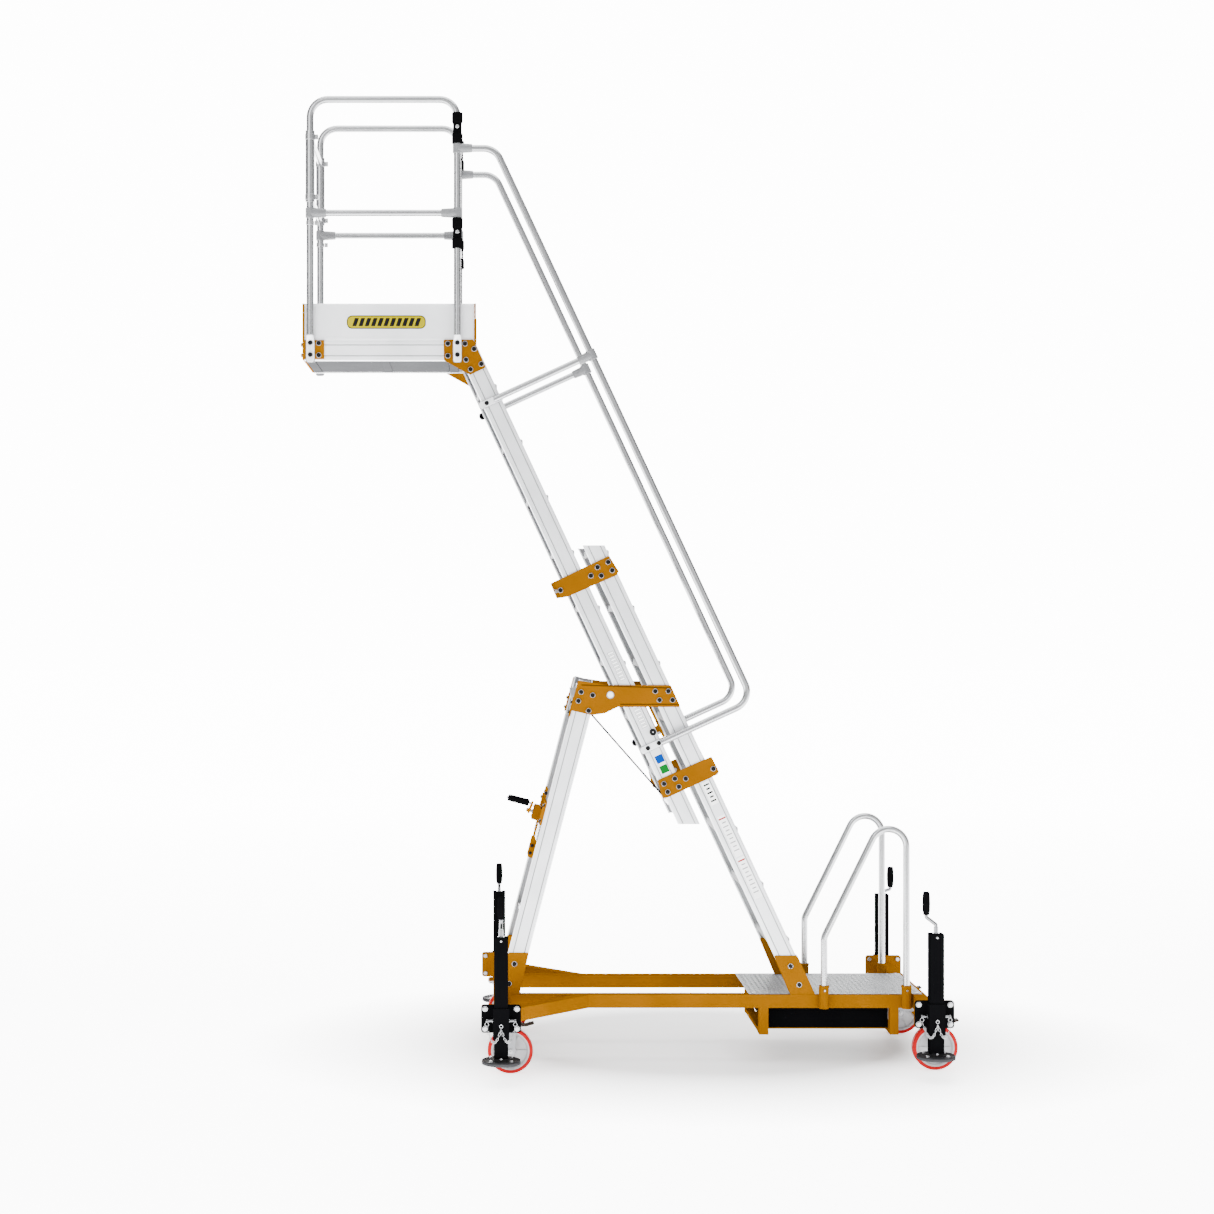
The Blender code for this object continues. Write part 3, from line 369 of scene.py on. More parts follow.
def finish(name, colour, roughness, metallic, grain, bump, stretch=(1.0, 1.0, 1.0), turn=0.0, edge=0.0,
           specular=0.5):
    """A Principled material with uneven tone and gloss, a fine grain and, where asked, softened edges."""
    material = bpy.data.materials.new(name)
    material.use_nodes = True
    nodes, links = material.node_tree.nodes, material.node_tree.links
    shader = nodes["Principled BSDF"]
    shader.inputs["Metallic"].default_value = metallic
    shader.inputs["Roughness"].default_value = roughness
    shader.inputs["Base Color"].default_value = (*colour, 1.0)
    shader.inputs["Specular IOR Level"].default_value = specular
    coords = nodes.new("ShaderNodeTexCoord").outputs["Object"]
    cloud = noise(nodes, links, coords, CLOUD_SCALE)
    mix = nodes.new("ShaderNodeMix")
    mix.data_type = "RGBA"
    mix.inputs["A"].default_value = (*[c * (1 - STAIN) for c in colour], 1.0)
    mix.inputs["B"].default_value = (*[min(1.0, c * (1 + STAIN)) for c in colour], 1.0)
    links.new(ramp(nodes, links, cloud, NOISE_RANGE, (0.0, 1.0)), mix.inputs["Factor"])
    links.new(mix.outputs["Result"], shader.inputs["Base Color"])
    fine = noise(nodes, links, coords, grain, 3.0, stretch, turn)
    gloss = (roughness * (1 - GLOSS_SWING), roughness * (1 + GLOSS_SWING))
    links.new(ramp(nodes, links, fine, NOISE_RANGE, gloss), shader.inputs["Roughness"])
    relief = nodes.new("ShaderNodeBump")
    relief.inputs["Strength"].default_value = bump
    relief.inputs["Distance"].default_value = 0.001
    links.new(fine, relief.inputs["Height"])
    links.new(relief.outputs["Normal"], shader.inputs["Normal"])
    if edge:
        soft = nodes.new("ShaderNodeBevel")
        soft.samples = 4
        soft.inputs["Radius"].default_value = edge
        links.new(soft.outputs["Normal"], relief.inputs["Normal"])
    return material


MATERIALS = {}


def add_finish(key, slot, *look, **more):
    """Makes a material under a key; the slot argument is not used."""
    MATERIALS[key] = finish(*look, **more)


BRUSHED = (8.0, 8.0, 0.25)
SATIN, GREY = (0.74, 0.75, 0.77), (0.20, 0.203, 0.21)
LADDER_TURN, LEG_TURN = SLOPE - math.radians(90.0), math.radians(90.0) - LEG_SLOPE
SOFT = {"edge": 0.0015, "specular": 0.0}

# Each line: key, slot, name, colour, roughness, metallic, grain and bump
add_finish("profile", "aluminium", "satin_profile", SATIN, 0.42, 0.55, 90.0, 0.10, BRUSHED, LADDER_TURN)
add_finish("leg_profile", "aluminium", "satin_leg_profile", SATIN, 0.42, 0.55, 90.0, 0.10, BRUSHED, LEG_TURN)
add_finish("tube", "aluminium", "satin_tube", (0.36, 0.365, 0.375), 0.26, 0.92, 300.0, 0.02)
add_finish("tread", "aluminium", "ribbed_tread", GREY, 0.50, 0.0, 200.0, 0.06, (1.0, 0.1, 1.0), specular=0.02)
# Painted shade: a darker strip on the inner face of each channel, where the recess is in shade.
add_finish("web_shade", "aluminium", "profile_inside", (0.24, 0.244, 0.252), 0.45, 0.5, 90.0, 0.10)
# Painted shade: a darker strip laid in the floor of each groove.
add_finish("groove", "aluminium", "profile_groove", (0.22, 0.225, 0.23), 0.50, 0.4, 90.0, 0.10)
add_finish("board", "aluminium", "toe_board", (0.78, 0.79, 0.81), 0.45, 0.35, 60.0, 0.05, (0.1, 1.0, 6.0))
add_finish("cast", "aluminium", "cast_connector", (0.15, 0.153, 0.16), 0.50, 0.3, 700.0, 0.15)
# Painted shade: the platform's underside and crossbars are darkened to near black for the shade under the
# deck.
add_finish("panel", "aluminium", "under_panel", (0.052, 0.053, 0.0555), 0.60, 0.0, 120.0, 0.08,
           (0.1, 1.0, 1.0), specular=0.0)
add_finish("plate", "checker_plate", "tread_plate", GREY, 0.50, 0.0, 120.0, 0.08, specular=0.04)
add_finish("plate_mark", "checker_plate", "tread_plate_mark", (0.42, 0.425, 0.435), 0.45, 0.0, 120.0, 0.05,
           specular=0.04)
add_finish("orange", "orange_paint", "orange_powder", (0.185, 0.0685, 0.0), 0.55, 0.0, 900.0, 0.10, **SOFT)
add_finish("orange_plate", "orange_paint", "orange_plate_powder", (0.150, 0.054, 0.0), 0.55, 0.0, 900.0, 0.10,
           **SOFT)
# Painted shade: a dark orange for thin strips that stand in for the shading of the head plates' creases.
add_finish("fold", "orange_paint", "orange_fold", (0.048, 0.0175, 0.0), 0.55, 0.0, 900.0, 0.10, specular=0.0)
add_finish("black", "black_paint", "black_powder", (0.0020, 0.0020, 0.0023), 0.45, 0.0, 900.0, 0.10, **SOFT)
add_finish("fastener", "black_paint", "black_fastener", (0.003, 0.003, 0.0035), 0.40, 0.0, 900.0, 0.05,
           specular=0.10)
add_finish("foot", "black_paint", "grey_foot_pad", (0.036, 0.036, 0.0385), 0.55, 0.0, 700.0, 0.1,
           specular=0.0)
add_finish("foot_top", "black_paint", "dark_foot_plate", (0.016, 0.016, 0.017), 0.55, 0.0, 700.0, 0.1,
           specular=0.02)
add_finish("grip", "grip_plastic", "black_grip", (0.0022, 0.0022, 0.0025), 0.55, 0.0, 1200.0, 0.2,
           specular=0.0)
add_finish("zinc", "zinc", "bright_zinc", (0.34, 0.345, 0.355), 0.30, 0.85, 500.0, 0.05)
add_finish("chrome", "zinc", "chrome_rod", (0.17, 0.173, 0.182), 0.16, 1.0, 500.0, 0.02)
add_finish("steel", "zinc", "fork_steel", (0.24, 0.245, 0.26), 0.40, 0.4, 500.0, 0.05, edge=0.001)
add_finish("bracket", "zinc", "tread_bracket", (0.15, 0.152, 0.158), 0.50, 0.0, 500.0, 0.05, specular=0.02)
add_finish("pedal", "zinc", "brake_pedal", (0.020, 0.014, 0.011), 0.50, 0.0, 700.0, 0.1, specular=0.04)
add_finish("rope", "steel_rope", "steel_strand", (0.010, 0.010, 0.0107), 0.50, 0.0, 900.0, 0.1, specular=0.02)
add_finish("red", "wheel_red", "red_tyre", (0.30, 0.002, 0.004), 0.45, 0.0, 500.0, 0.06, specular=0.05)
add_finish("disc", "wheel_red", "grey_wheel_centre", (0.30, 0.30, 0.31), 0.45, 0.1, 600.0, 0.08)
add_finish("roller", "roller_plastic", "roller_plastic", (0.30, 0.36, 0.02), 0.45, 0.0, 700.0, 0.05,
           specular=0.05)
add_finish("label", None, "white_label", (0.97, 0.97, 0.97), 0.45, 0.0, 300.0, 0.01, specular=0.1)
for mark, mark_colour, mark_gloss in (
    ("grey", (0.012, 0.012, 0.013), 0.02), ("blue", (0.0, 0.030, 0.19), 0.0),
    ("green", (0.0, 0.090, 0.012), 0.0), ("red", (0.25, 0.004, 0.004), 0.02),
    ("yellow", (0.29, 0.240, 0.0), 0.0),
):
    add_finish(f"{mark}_mark", None, f"{mark}_mark", mark_colour, 0.50, 0.0, 300.0, 0.01, specular=mark_gloss)


def piece(name, shape, finish_name, body, replaces=(), bevel=0.0, sharp=35.0):
    """Makes a mesh from a shape, gives it its material and lets it ride on a body."""
    mesh = bpy.data.meshes.new(name)
    mesh.from_pydata(shape.points, [], shape.faces)
    work = bmesh.new()
    work.from_mesh(mesh)
    bmesh.ops.recalc_face_normals(work, faces=work.faces)
    work.to_mesh(mesh)
    work.free()
    mesh.shade_smooth()
    mesh.set_sharp_from_angle(angle=math.radians(sharp))
    item = bpy.data.objects.new(name, mesh)
    bpy.context.scene.collection.objects.link(item)
    mesh.materials.append(MATERIALS[finish_name])
    if bevel:
        change = item.modifiers.new("edges", "BEVEL")
        change.width = bevel
        change.segments = 2
        change.limit_method = "ANGLE"
        change.angle_limit = math.radians(40.0)
        change.harden_normals = True
    if body:
        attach(item, body)
    if replaces:
        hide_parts(*replaces)
    return item


def dress(names, finish_name):
    """Gives CAD nodes a material."""
    for name in names:
        item = frame["nodes"][name]
        item.data.materials.clear()
        item.data.materials.append(MATERIALS[finish_name])


# Places worked out from the frame
RUN = STILE_HALF / math.sin(SLOPE)
FIXED_LINE = Vector((low(FIXED).x + RUN, 0.0, high(FIXED).z))
SLIDING_LINE = Vector((high(SLIDING).x - RUN, 0.0, low(SLIDING).z))
LEG_LINE = Vector((low(LEGS).x + STILE_HALF / math.sin(LEG_SLOPE), 0.0, low(LEGS).z))
HALF = high(FIXED).y
INNER = HALF - STILE_WIDTH
FACE = HALF + SHEET + SKIN
CHANNEL_LOW, CHANNEL_HIGH = low("platform_frame"), high("platform_frame")
POST_FOOT = low("guardrail_left").z
POST_FRONT = low("guardrail_left").x + RAIL_R
POST_REAR = pivot("gate_left").x
MID_RAIL = pivot("gate_left").z
RAIL_Y = high("guardrail_right").y - 0.0225
TOP_RAIL = high("guardrail_left").z - RAIL_R
ROPE_ANCHOR = Vector((pivot("latch").x + 0.081, 0.0, pivot("latch").z - 0.3255))


# Ladder sections and rear legs
def groove_shade_section(groove, side, clear=0.0):
    """The floor of a groove, as a thin strip of painted shade."""
    corners = ((-0.0018, 0.0030), (-0.0018, 0.0022), (0.0018, 0.0022), (0.0018, 0.0030))
    return [(groove + offset, (HALF - clear - depth) * side) for offset, depth in corners]


def web_shade_section(side):
    """A thin strip of painted shade on the inner face of a channel."""
    depth = STILE_HALF - STILE_WALL - 0.0025
    face = HALF - STILE_WALL - 0.0009
    near, far = face * side, (face - 0.0005) * side
    return [(-depth, near), (-depth, far), (depth, far), (depth, near)]


def channel_section(side, clear=0.0):
    """Depth and Y of a channel with two grooves outside and a thick lip inside."""
    outer = HALF - clear
    wall = STILE_WALL
    points = [(-STILE_HALF, INNER), (-STILE_HALF, outer - 0.003), (-STILE_HALF + 0.0009, outer - 0.0009)]
    points.append((-STILE_HALF + 0.003, outer))
    for groove in GROOVES:
        for offset, depth in ((-0.0024, 0.0), (-0.0019, 0.0030), (0.0019, 0.0030), (0.0024, 0.0)):
            points.append((groove + offset, outer - depth))
    points += [(STILE_HALF - 0.003, outer), (STILE_HALF - 0.0009, outer - 0.0009)]
    points.append((STILE_HALF, outer - 0.003))
    points += [(STILE_HALF, INNER), (STILE_HALF - 0.006, INNER), (STILE_HALF - 0.006, INNER + 0.004)]
    points += [(STILE_HALF - wall, INNER + 0.007), (STILE_HALF - wall, outer - wall - 0.002)]
    points += [(STILE_HALF - wall - 0.002, outer - wall), (-STILE_HALF + wall + 0.002, outer - wall)]
    points += [(-STILE_HALF + wall, outer - wall - 0.002), (-STILE_HALF + wall, INNER + 0.007)]
    points += [(-STILE_HALF + 0.006, INNER + 0.004), (-STILE_HALF + 0.006, INNER)]
    return [(depth, y * side) for depth, y in points]


def stile(shape, line, along, across, section, planes):
    """A section drawn out between two cutting planes, each a point and a normal."""
    rings = []
    for point, normal in planes:
        ring = []
        for depth, y in section:
            start = line + across * depth + Y * y
            travel = (point - start).dot(normal) / along.dot(normal)
            ring.append(start + along * travel)
        rings.append(ring)
    shape.loft(rings)


def stile_pair(line, along, across, planes, clear=0.0):
    """Two stiles, and the strips of painted shade in their grooves and on the inner faces of their channels.
    """
    stiles, groove_shades, web_shades = Shape(), Shape(), Shape()
    for side in BOTH:
        stile(stiles, line, along, across, channel_section(side, clear), planes)
        stile(web_shades, line, along, across, web_shade_section(side), planes)
        for groove in GROOVES:
            stile(groove_shades, line, along, across, groove_shade_section(groove, side, clear), planes)
    return stiles, groove_shades, web_shades


def tread(shape, line, level):
    """A ribbed step, open below, with a round nose."""
    centre = slanted(line, UP, level).x
    back, nose, thick, wall, ridge = -0.032, 0.061, 0.030, 0.0035, 0.0012
    round_r, lip, lip_rise = 0.009, 0.009, 0.003
    outline = [(back, -thick), (back, -ridge)]
    for i in range(8):
        start = back + 0.002 + i * 0.0100
        outline += [(start, -ridge), (start + 0.001, 0.0), (start + 0.006, 0.0), (start + 0.007, -ridge)]
    outline += arc((nose - round_r, -round_r), round_r, 90, 0, 6)
    outline += [(nose, -thick), (nose - lip, -thick), (nose - lip, -thick + lip_rise)]
    outline += [(nose - wall, -thick + lip_rise), (nose - wall, -0.010), (nose - wall - 0.004, -ridge - wall)]
    outline += [(back + wall, -ridge - wall), (back + wall, -thick + lip_rise)]
    outline += [(back + lip, -thick + lip_rise), (back + lip, -thick)]
    inner = INNER + 0.001
    shape.slab(outline, (-inner, inner), (centre, level))


def ladder(name, line, planes, first, body):
    stiles, groove_shades, web_shades = stile_pair(line, UP, FRONT, planes, CLEARANCE[name])
    piece(f"{name}_stiles", stiles, "profile", body, [name])
    # Strips of painted shade in the grooves and on the channels' inner faces.
    piece(f"{name}_grooves", groove_shades, "groove", body)
    piece(f"{name}_webs", web_shades, "web_shade", body)
    steps, brackets = Shape(), Shape()
    for i in range(TREADS):
        level = first + i * TREAD_PITCH
        tread(steps, line, level)
        centre = slanted(line, UP, level - 0.015)
        for side in BOTH:
            spot = centre + FRONT * 0.008 + Y * (INNER - 0.002) * side - Z * 0.018
            brackets.block(spot, (FRONT, Y, UP), (0.060, 0.003, 0.032))
            for offset in (-0.017, 0.017):
                brackets.button(spot + FRONT * offset - Y * 0.0015 * side, -Y * side, 0.0035, 0.002)
    piece(f"{name}_treads", steps, "tread", body, [name])
    piece(f"{name}_brackets", brackets, "bracket", body)


def build_ladders():
    bottom = (Vector((0, 0, low(FIXED).z)), Z)
    top = (Vector((0, 0, high(FIXED).z)), Z)
    ladder(FIXED, FIXED_LINE, (bottom, top), high(FIXED).z - FIRST_TREAD_DROP, "chassis")
    bottom = (Vector((0, 0, low(SLIDING).z)), Z)
    corner = Vector((low(SLIDING).x, 0.0, CHANNEL_LOW.z))
    mitre = Vector((CHANNEL_MITRE, 0.0, high("platform_deck").z - corner.z))
    top = (corner, Vector((-mitre.z, 0.0, mitre.x)).normalized())
    ladder(SLIDING, SLIDING_LINE, (bottom, top), low(SLIDING).z + FIRST_TREAD_RISE, "upper_section")
    anchor = Shape()
    anchor.rod(ROPE_ANCHOR - Y * (HALF - 0.004), ROPE_ANCHOR + Y * (HALF - 0.004), 0.010)
    anchor.pipe(ROPE_ANCHOR - Y * 0.012, ROPE_ANCHOR + Y * 0.012, 0.014, 0.009)
    piece("rope_anchor_rod", anchor, "zinc", "upper_section", [SLIDING])


def build_legs():
    top = slanted(LEG_LINE, LEG_UP, high(LEGS).z - STILE_HALF * LEG_BACK.z)
    planes = ((Vector((0, 0, low(LEGS).z)), Z), (top, LEG_UP))
    stiles, groove_shades, web_shades = stile_pair(LEG_LINE, LEG_UP, -LEG_BACK, planes)
    # Strips of painted shade in the grooves and on the channels' inner faces.
    piece("rear_leg_grooves", groove_shades, "groove", "chassis")
    piece("rear_leg_webs", web_shades, "web_shade", "chassis")
    piece("rear_leg_stiles", stiles, "leg_profile", "chassis", [LEGS])
    bars = Shape()
    inner = HALF - STILE_WALL
    for level in LEG_CROSSBARS:
        at = slanted(LEG_LINE, LEG_UP, level)
        bars.slab(round_rect(0.060, 0.030, 0.005), (-inner, inner), (at.x, level))
    piece("rear_leg_crossbars", bars, "tube", "chassis", [LEGS])
    cheeks = Shape()
    at = pivot("head_pulley")
    outline = arc((0.0, 0.004), 0.018, 180, 360, 8) + [(0.018, 0.090), (-0.036, 0.090)]
    for side in BOTH:
        cheeks.slab(outline, (0.012 * side, 0.016 * side), (at.x, at.z))
    piece("pulley_cheeks", cheeks, "zinc", "chassis", [LEGS], 0.0006)


# Guardrails, gates and handrails
def flat_foot(shape, x, y, side, top):
    """The lower end of a post, pressed flat against the bracket plate that it is bolted to."""
    face = (FACE + 0.0045) * side
    steps = [(top, RAIL_R, RAIL_R, y), (POST_FOOT + 0.118, RAIL_R, RAIL_R, y)]
    steps += [(POST_FOOT + 0.106, 0.0170, 0.011, (y + face) / 2), (POST_FOOT + 0.094, 0.0180, 0.0040, face)]
    steps += [(POST_FOOT + 0.012, 0.0180, 0.0040, face), (POST_FOOT + 0.003, 0.0150, 0.0036, face)]
    steps.append((POST_FOOT, 0.0080, 0.0030, face))
    rings = []
    for level, wide, deep, centre in steps:
        ring = []
        for u, v in arc((0, 0), 1.0, 0, 345, 23):
            ring.append((x + wide * u, centre + deep * v, level))
        rings.append(ring)
    shape.loft(rings)


def tee(shape, post, along, length=0.075, depth=0.0225):
    """A cast connector: a ring on the post and a tapered socket for the rail."""
    shape.rod(post - Z * depth, post + Z * depth, 0.0205, 24, 0.002)
    profile = [(0.0215, 0.0), (0.0222, 0.010), (0.0215, 0.030), (0.0190, length - 0.004), (0.0182, length)]
    shape.turned(profile, post - along * 0.003, along, 24)


def build_hinges(name, side, y, body):
    """The gate's two hinge blocks, with a ribbed waist and a lug each."""
    blocks, pins = Shape(), Shape()
    for i, (bottom, top) in enumerate(HINGE_BLOCKS):
        height = top - bottom
        at = Vector((POST_REAR, y, bottom))
        profile = [(0.0225, 0.0), (0.0245, 0.002), (0.0245, height * 0.30), (0.0225, height * 0.32)]
        profile += [(0.0195, height * 0.36), (0.0195, height * 0.64), (0.0225, height * 0.68)]
        profile += [(0.0245, height * 0.70), (0.0245, height - 0.002), (0.0225, height)]
        blocks.turned(profile, at, Z, 28)
        for share in (0.41, 0.52, 0.63):
            rib = [(0.0185, -0.003), (0.0205, -0.002), (0.0205, 0.002), (0.0185, 0.003)]
            blocks.turned(rib, at + Z * height * share, Z, 28)
        lug = bottom + 0.001 if i == 0 else top - 0.030
        hinge = (POST_REAR, 0.258 * side)
        blocks.prism(round_rect(0.032, 0.044, 0.008), hinge, (lug, lug + 0.029))
        face = Vector((POST_REAR, y + 0.0190 * side, bottom + height * 0.53))
        pins.button(face, Y * side, 0.0085, 0.006)
        pins.rod((*hinge, lug - 0.002), (*hinge, lug + 0.031), 0.0060)
    piece(f"hinge_blocks_{name}", blocks, "grip", body, [f"guardrail_{name}"])
    piece(f"hinge_pins_{name}", pins, "zinc", body, [f"guardrail_{name}"])


def build_guardrail(name, side):
    y = RAIL_Y * side
    body = "upper_section"
    split = POST_FOOT + 0.120
    tubes, feet, rims, joints = Shape(), Shape(), Shape(), Shape()
    corners = [(POST_FRONT, y, split), (POST_FRONT, y, TOP_RAIL)]
    corners += [(POST_REAR, y, TOP_RAIL), (POST_REAR, y, split)]
    tubes.tube(rounded(corners, BEND, 10), RAIL_R)
    tubes.rod((POST_FRONT, y, MID_RAIL), (POST_REAR, y, MID_RAIL), 0.0145)
    for x in (POST_FRONT, POST_REAR):
        flat_foot(feet, x, y, side, split)
        y_range = ((FACE + 0.0002) * side, (FACE + 0.0050) * side)
        rims.slab(round_rect(0.0410, 0.100, 0.010), y_range, (x, POST_FOOT + 0.0480))
    tee(joints, Vector((POST_FRONT, y, MID_RAIL)), X)
    tee(joints, Vector((POST_REAR, y, MID_RAIL)), -X)
    tee(joints, Vector((POST_REAR, y, HANDRAIL_TEE)), X, 0.070)
    node = [f"guardrail_{name}"]
    piece(f"guardrail_tubes_{name}", tubes, "tube", body, node)
    piece(f"guardrail_feet_{name}", feet, "board", body, node)
    piece(f"guardrail_foot_rims_{name}", rims, "cast", body)
    piece(f"guardrail_connectors_{name}", joints, "cast", body, node)
    build_hinges(name, side, y, body)


def build_gate(name, side):
    body = f"gate_{name}"
    at, lo, hi = pivot(body), low(body), high(body)
    z_low, z_high = lo.z + GATE_R, hi.z - GATE_R
    inner = min(abs(lo.y), abs(hi.y)) + GATE_R
    outer = abs(at.y)
    bar = at.z + 0.120
    shape, bands = Shape(), Shape()
    corners = [(at.x, outer * side, z_low), (at.x, outer * side, z_high)]
    corners += [(at.x, inner * side, z_high), (at.x, inner * side, z_low)]
    shape.tube(rounded(corners, 0.040, 8, True), GATE_R, 18, True)
    shape.rod((at.x, (outer - 0.010) * side, bar), (at.x, (inner + 0.010) * side, bar), 0.009)
    piece(f"gate_tube_{name}", shape, "tube", body, [body])
    for level in (z_low + 0.055, z_high - 0.055):
        bands.pipe((at.x, outer * side, level - 0.012), (at.x, outer * side, level + 0.012), 0.0160, 0.0120)
    for share in (0.35, 0.65):
        y = (inner + (outer - inner) * share) * side
        bands.pipe((at.x, y - 0.012, bar), (at.x, y + 0.012, bar), 0.0115, 0.0085)
    piece(f"gate_bands_{name}", bands, "grip", body)


def strap(shape, start, end, side, grow, thick):
    """A flattened tube end on the outer face of a stile."""
    start, end = Vector(start), Vector(end)
    along = (end - start).normalized()
    wide = Vector((-along.y, along.x)) * (RAIL_R - 0.0005 + grow)
    outline = []
    for centre, facing in ((start, -1), (end, 1)):
        for u, v in arc((0, 0), 1.0, -90 * facing, 90 * facing, 8):
            outline.append(centre + along * (0.012 + grow) * u * facing - wide * v)
    shape.slab(outline, ((HALF + 0.0004) * side, (HALF + thick) * side))


def build_handrail(name, side):
    y = RAIL_Y * side
    body, node = "upper_section", [f"handrail_{name}"]
    crown = high(f"handrail_{name}").z - RAIL_R
    start, bend = Vector((POST_REAR + 0.040, y, crown)), Vector((POST_REAR + 0.170, y, crown))
    lower = slanted(Vector((HANDRAIL_BACK[0], y, HANDRAIL_BACK[1])), UP, HANDRAIL_TAIL_Z)
    tail = Vector((HANDRAIL_END[0], y, HANDRAIL_END[1]))
    tubes, straps, rims, joints, bolts = Shape(), Shape(), Shape(), Shape(), Shape()
    tubes.tube(rounded([start, bend, lower, tail], BEND, 10), RAIL_R)
    tubes.tube([(x, y, z) for x, z in BRACE], BRACE_R)
    for first, last in HANDRAIL_STRAPS:
        strap(straps, first, last, side, 0.0, 0.0064)
        strap(rims, first, last, side, 0.0018, 0.0046)
    piece(f"handrail_strap_rims_{name}", rims, "cast", body)
    piece(f"handrail_straps_{name}", straps, "board", body, node, 0.0012)
    piece(f"handrail_tubes_{name}", tubes, "tube", body, node)
    brace_end = Vector((-0.160, y, 3.1863))
    along = Vector((0.420, 0.0, 0.1922)).normalized()
    profile = [(0.0175, 0.0), (0.0190, 0.004), (0.0215, 0.052), (0.0220, 0.066)]
    joints.turned(profile, brace_end - along * 0.066, along, 24)
    joints.rod(brace_end - UP * 0.024, brace_end + UP * 0.024, 0.0215, 24, 0.002)
    piece(f"handrail_connector_{name}", joints, "cast", body, node)
    for x, z in HANDRAIL_BOLTS:
        bolts.bolt((x, (HALF + 0.0064) * side, z), Y * side)
    piece(f"handrail_bolts_{name}", bolts, "fastener", body)


def build_front_guard():
    body = "upper_section"
    bars, clamps = Shape(), Shape()
    for level in GUARD_BARS:
        bars.rod((POST_FRONT, -RAIL_Y + 0.016, level), (POST_FRONT, RAIL_Y - 0.016, level), 0.0125)
    for side in BOTH:
        y = RAIL_Y * side
        bars.pipe((POST_FRONT, y, 3.872), (POST_FRONT, y, 4.193), 0.0205, 0.0165)
        for level in GUARD_BARS:
            clamps.pipe((POST_FRONT, y, level - 0.013), (POST_FRONT, y, level + 0.013), 0.0225, 0.0203)
            clamps.block((POST_FRONT + 0.029, y, level), (X, Y, Z), (0.016, 0.008, 0.022))
            clamps.bolt((POST_FRONT + 0.029, y + 0.004 * side, level), Y * side, 0.010, 0.005, 0.0)
            clamps.button((POST_FRONT + 0.029, y - 0.004 * side, level), -Y * side, 0.005, 0.004)
        clamps.block((POST_FRONT + 0.028, y, MID_RAIL - 0.045), (X, Y, Z), (0.016, 0.006, 0.020))
        clamps.pipe((POST_FRONT, y, MID_RAIL - 0.055), (POST_FRONT, y, MID_RAIL - 0.036), 0.0185, 0.0162)
    piece("front_guard_tubes", bars, "tube", body, ["front_guard"])
    piece("front_guard_clamps", clamps, "zinc", body)


def build_low_handrail(name, side):
    node = f"low_handrail_{name}"
    lo, hi, y = low(node), high(node), middle(node).y
    start_x, end_x = lo.x + LOW_RAIL_R, hi.x - LOW_RAIL_R
    crown = Vector((end_x - BEND, y, hi.z - LOW_RAIL_R - BEND))
    slope = math.radians(63.7)
    tangent = crown + Vector((-math.sin(slope), 0.0, math.cos(slope))) * BEND
    knee_z = tangent.z - (tangent.x - start_x) * math.tan(slope)
    path = rounded([(start_x, y, lo.z), (start_x, y, knee_z), tangent], 0.070, 8)[:-1]
    path += [Vector((x, y, z)) for x, z in arc((crown.x, crown.z), BEND, 90.0 + 63.7, 0.0, 18)]
    path.append(Vector((end_x, y, lo.z)))
    shape, rings, screws = Shape(), Shape(), Shape()
    shape.tube(path, LOW_RAIL_R)
    piece(f"low_handrail_tube_{name}", shape, "tube", "chassis", [node])
    for x in (start_x, end_x):
        rings.pipe((x, y, 0.344), (x, y, 0.353), 0.0232, 0.0165, 28)
        screws.bolt((x, y + 0.0215 * side, 0.333), Y * side, 0.009, 0.005, 0.0)
    piece(f"handrail_socket_rings_{name}", rings, "orange", "chassis")
    piece(f"handrail_socket_screws_{name}", screws, "zinc", "chassis")


# Plates, decks and toe boards
def checker(name, node, body):
    """A plate with raised lozenges that lean one way and then the other."""
    lo, hi = low(node), high(node)
    base, marks = Shape(), Shape()
    base.box(lo, (hi.x, hi.y, hi.z - CHECK_RISE))
    piece(f"{name}_sheet", base, "plate", body, [node], 0.0006)
    counts, starts = [], []
    for start, end in ((lo.x, hi.x), (lo.y, hi.y)):
        count = int((end - start - 0.012) / CHECK_PITCH)
        counts.append(count)
        starts.append(start + (end - start - (count - 1) * CHECK_PITCH) / 2)
    sink = 0.0002
    foot = hi.z - CHECK_RISE - sink
    for i in range(counts[0]):
        for j in range(counts[1]):
            lean = 1 if (i + j) % 2 else -1
            long = Vector((1, lean, 0)).normalized() * 0.0115
            wide = Vector((-lean, 1, 0)).normalized() * 0.0036
            at = Vector((starts[0] + i * CHECK_PITCH, starts[1] + j * CHECK_PITCH, foot))
            rings = []
            for scale, lift in ((1.0, 0.0), (0.55, CHECK_RISE + sink)):
                ring = []
                for a, b in ((1, 0), (0.45, 0.85), (-0.45, 0.85), (-1, 0), (-0.45, -0.85), (0.45, -0.85)):
                    ring.append(at + (long * a + wide * b) * scale + Z * lift)
                rings.append(ring)
            marks.loft(rings)
    piece(f"{name}_marks", marks, "plate_mark", body, [node], 0.0, 20.0)


def channel_level(depth):
    """The height, in the platform's channels, of a depth in a stile's section."""
    tall = CHANNEL_HIGH.z - CHANNEL_LOW.z
    return (CHANNEL_LOW.z + CHANNEL_HIGH.z) / 2 + depth * tall / (2 * STILE_HALF)


def channel_end(level):
    """Where the platform's channels meet the sliding stiles at a height."""
    share = (level - CHANNEL_LOW.z) / (CHANNEL_HIGH.z - CHANNEL_LOW.z)
    return low(SLIDING).x - 0.0005 + share * CHANNEL_MITRE


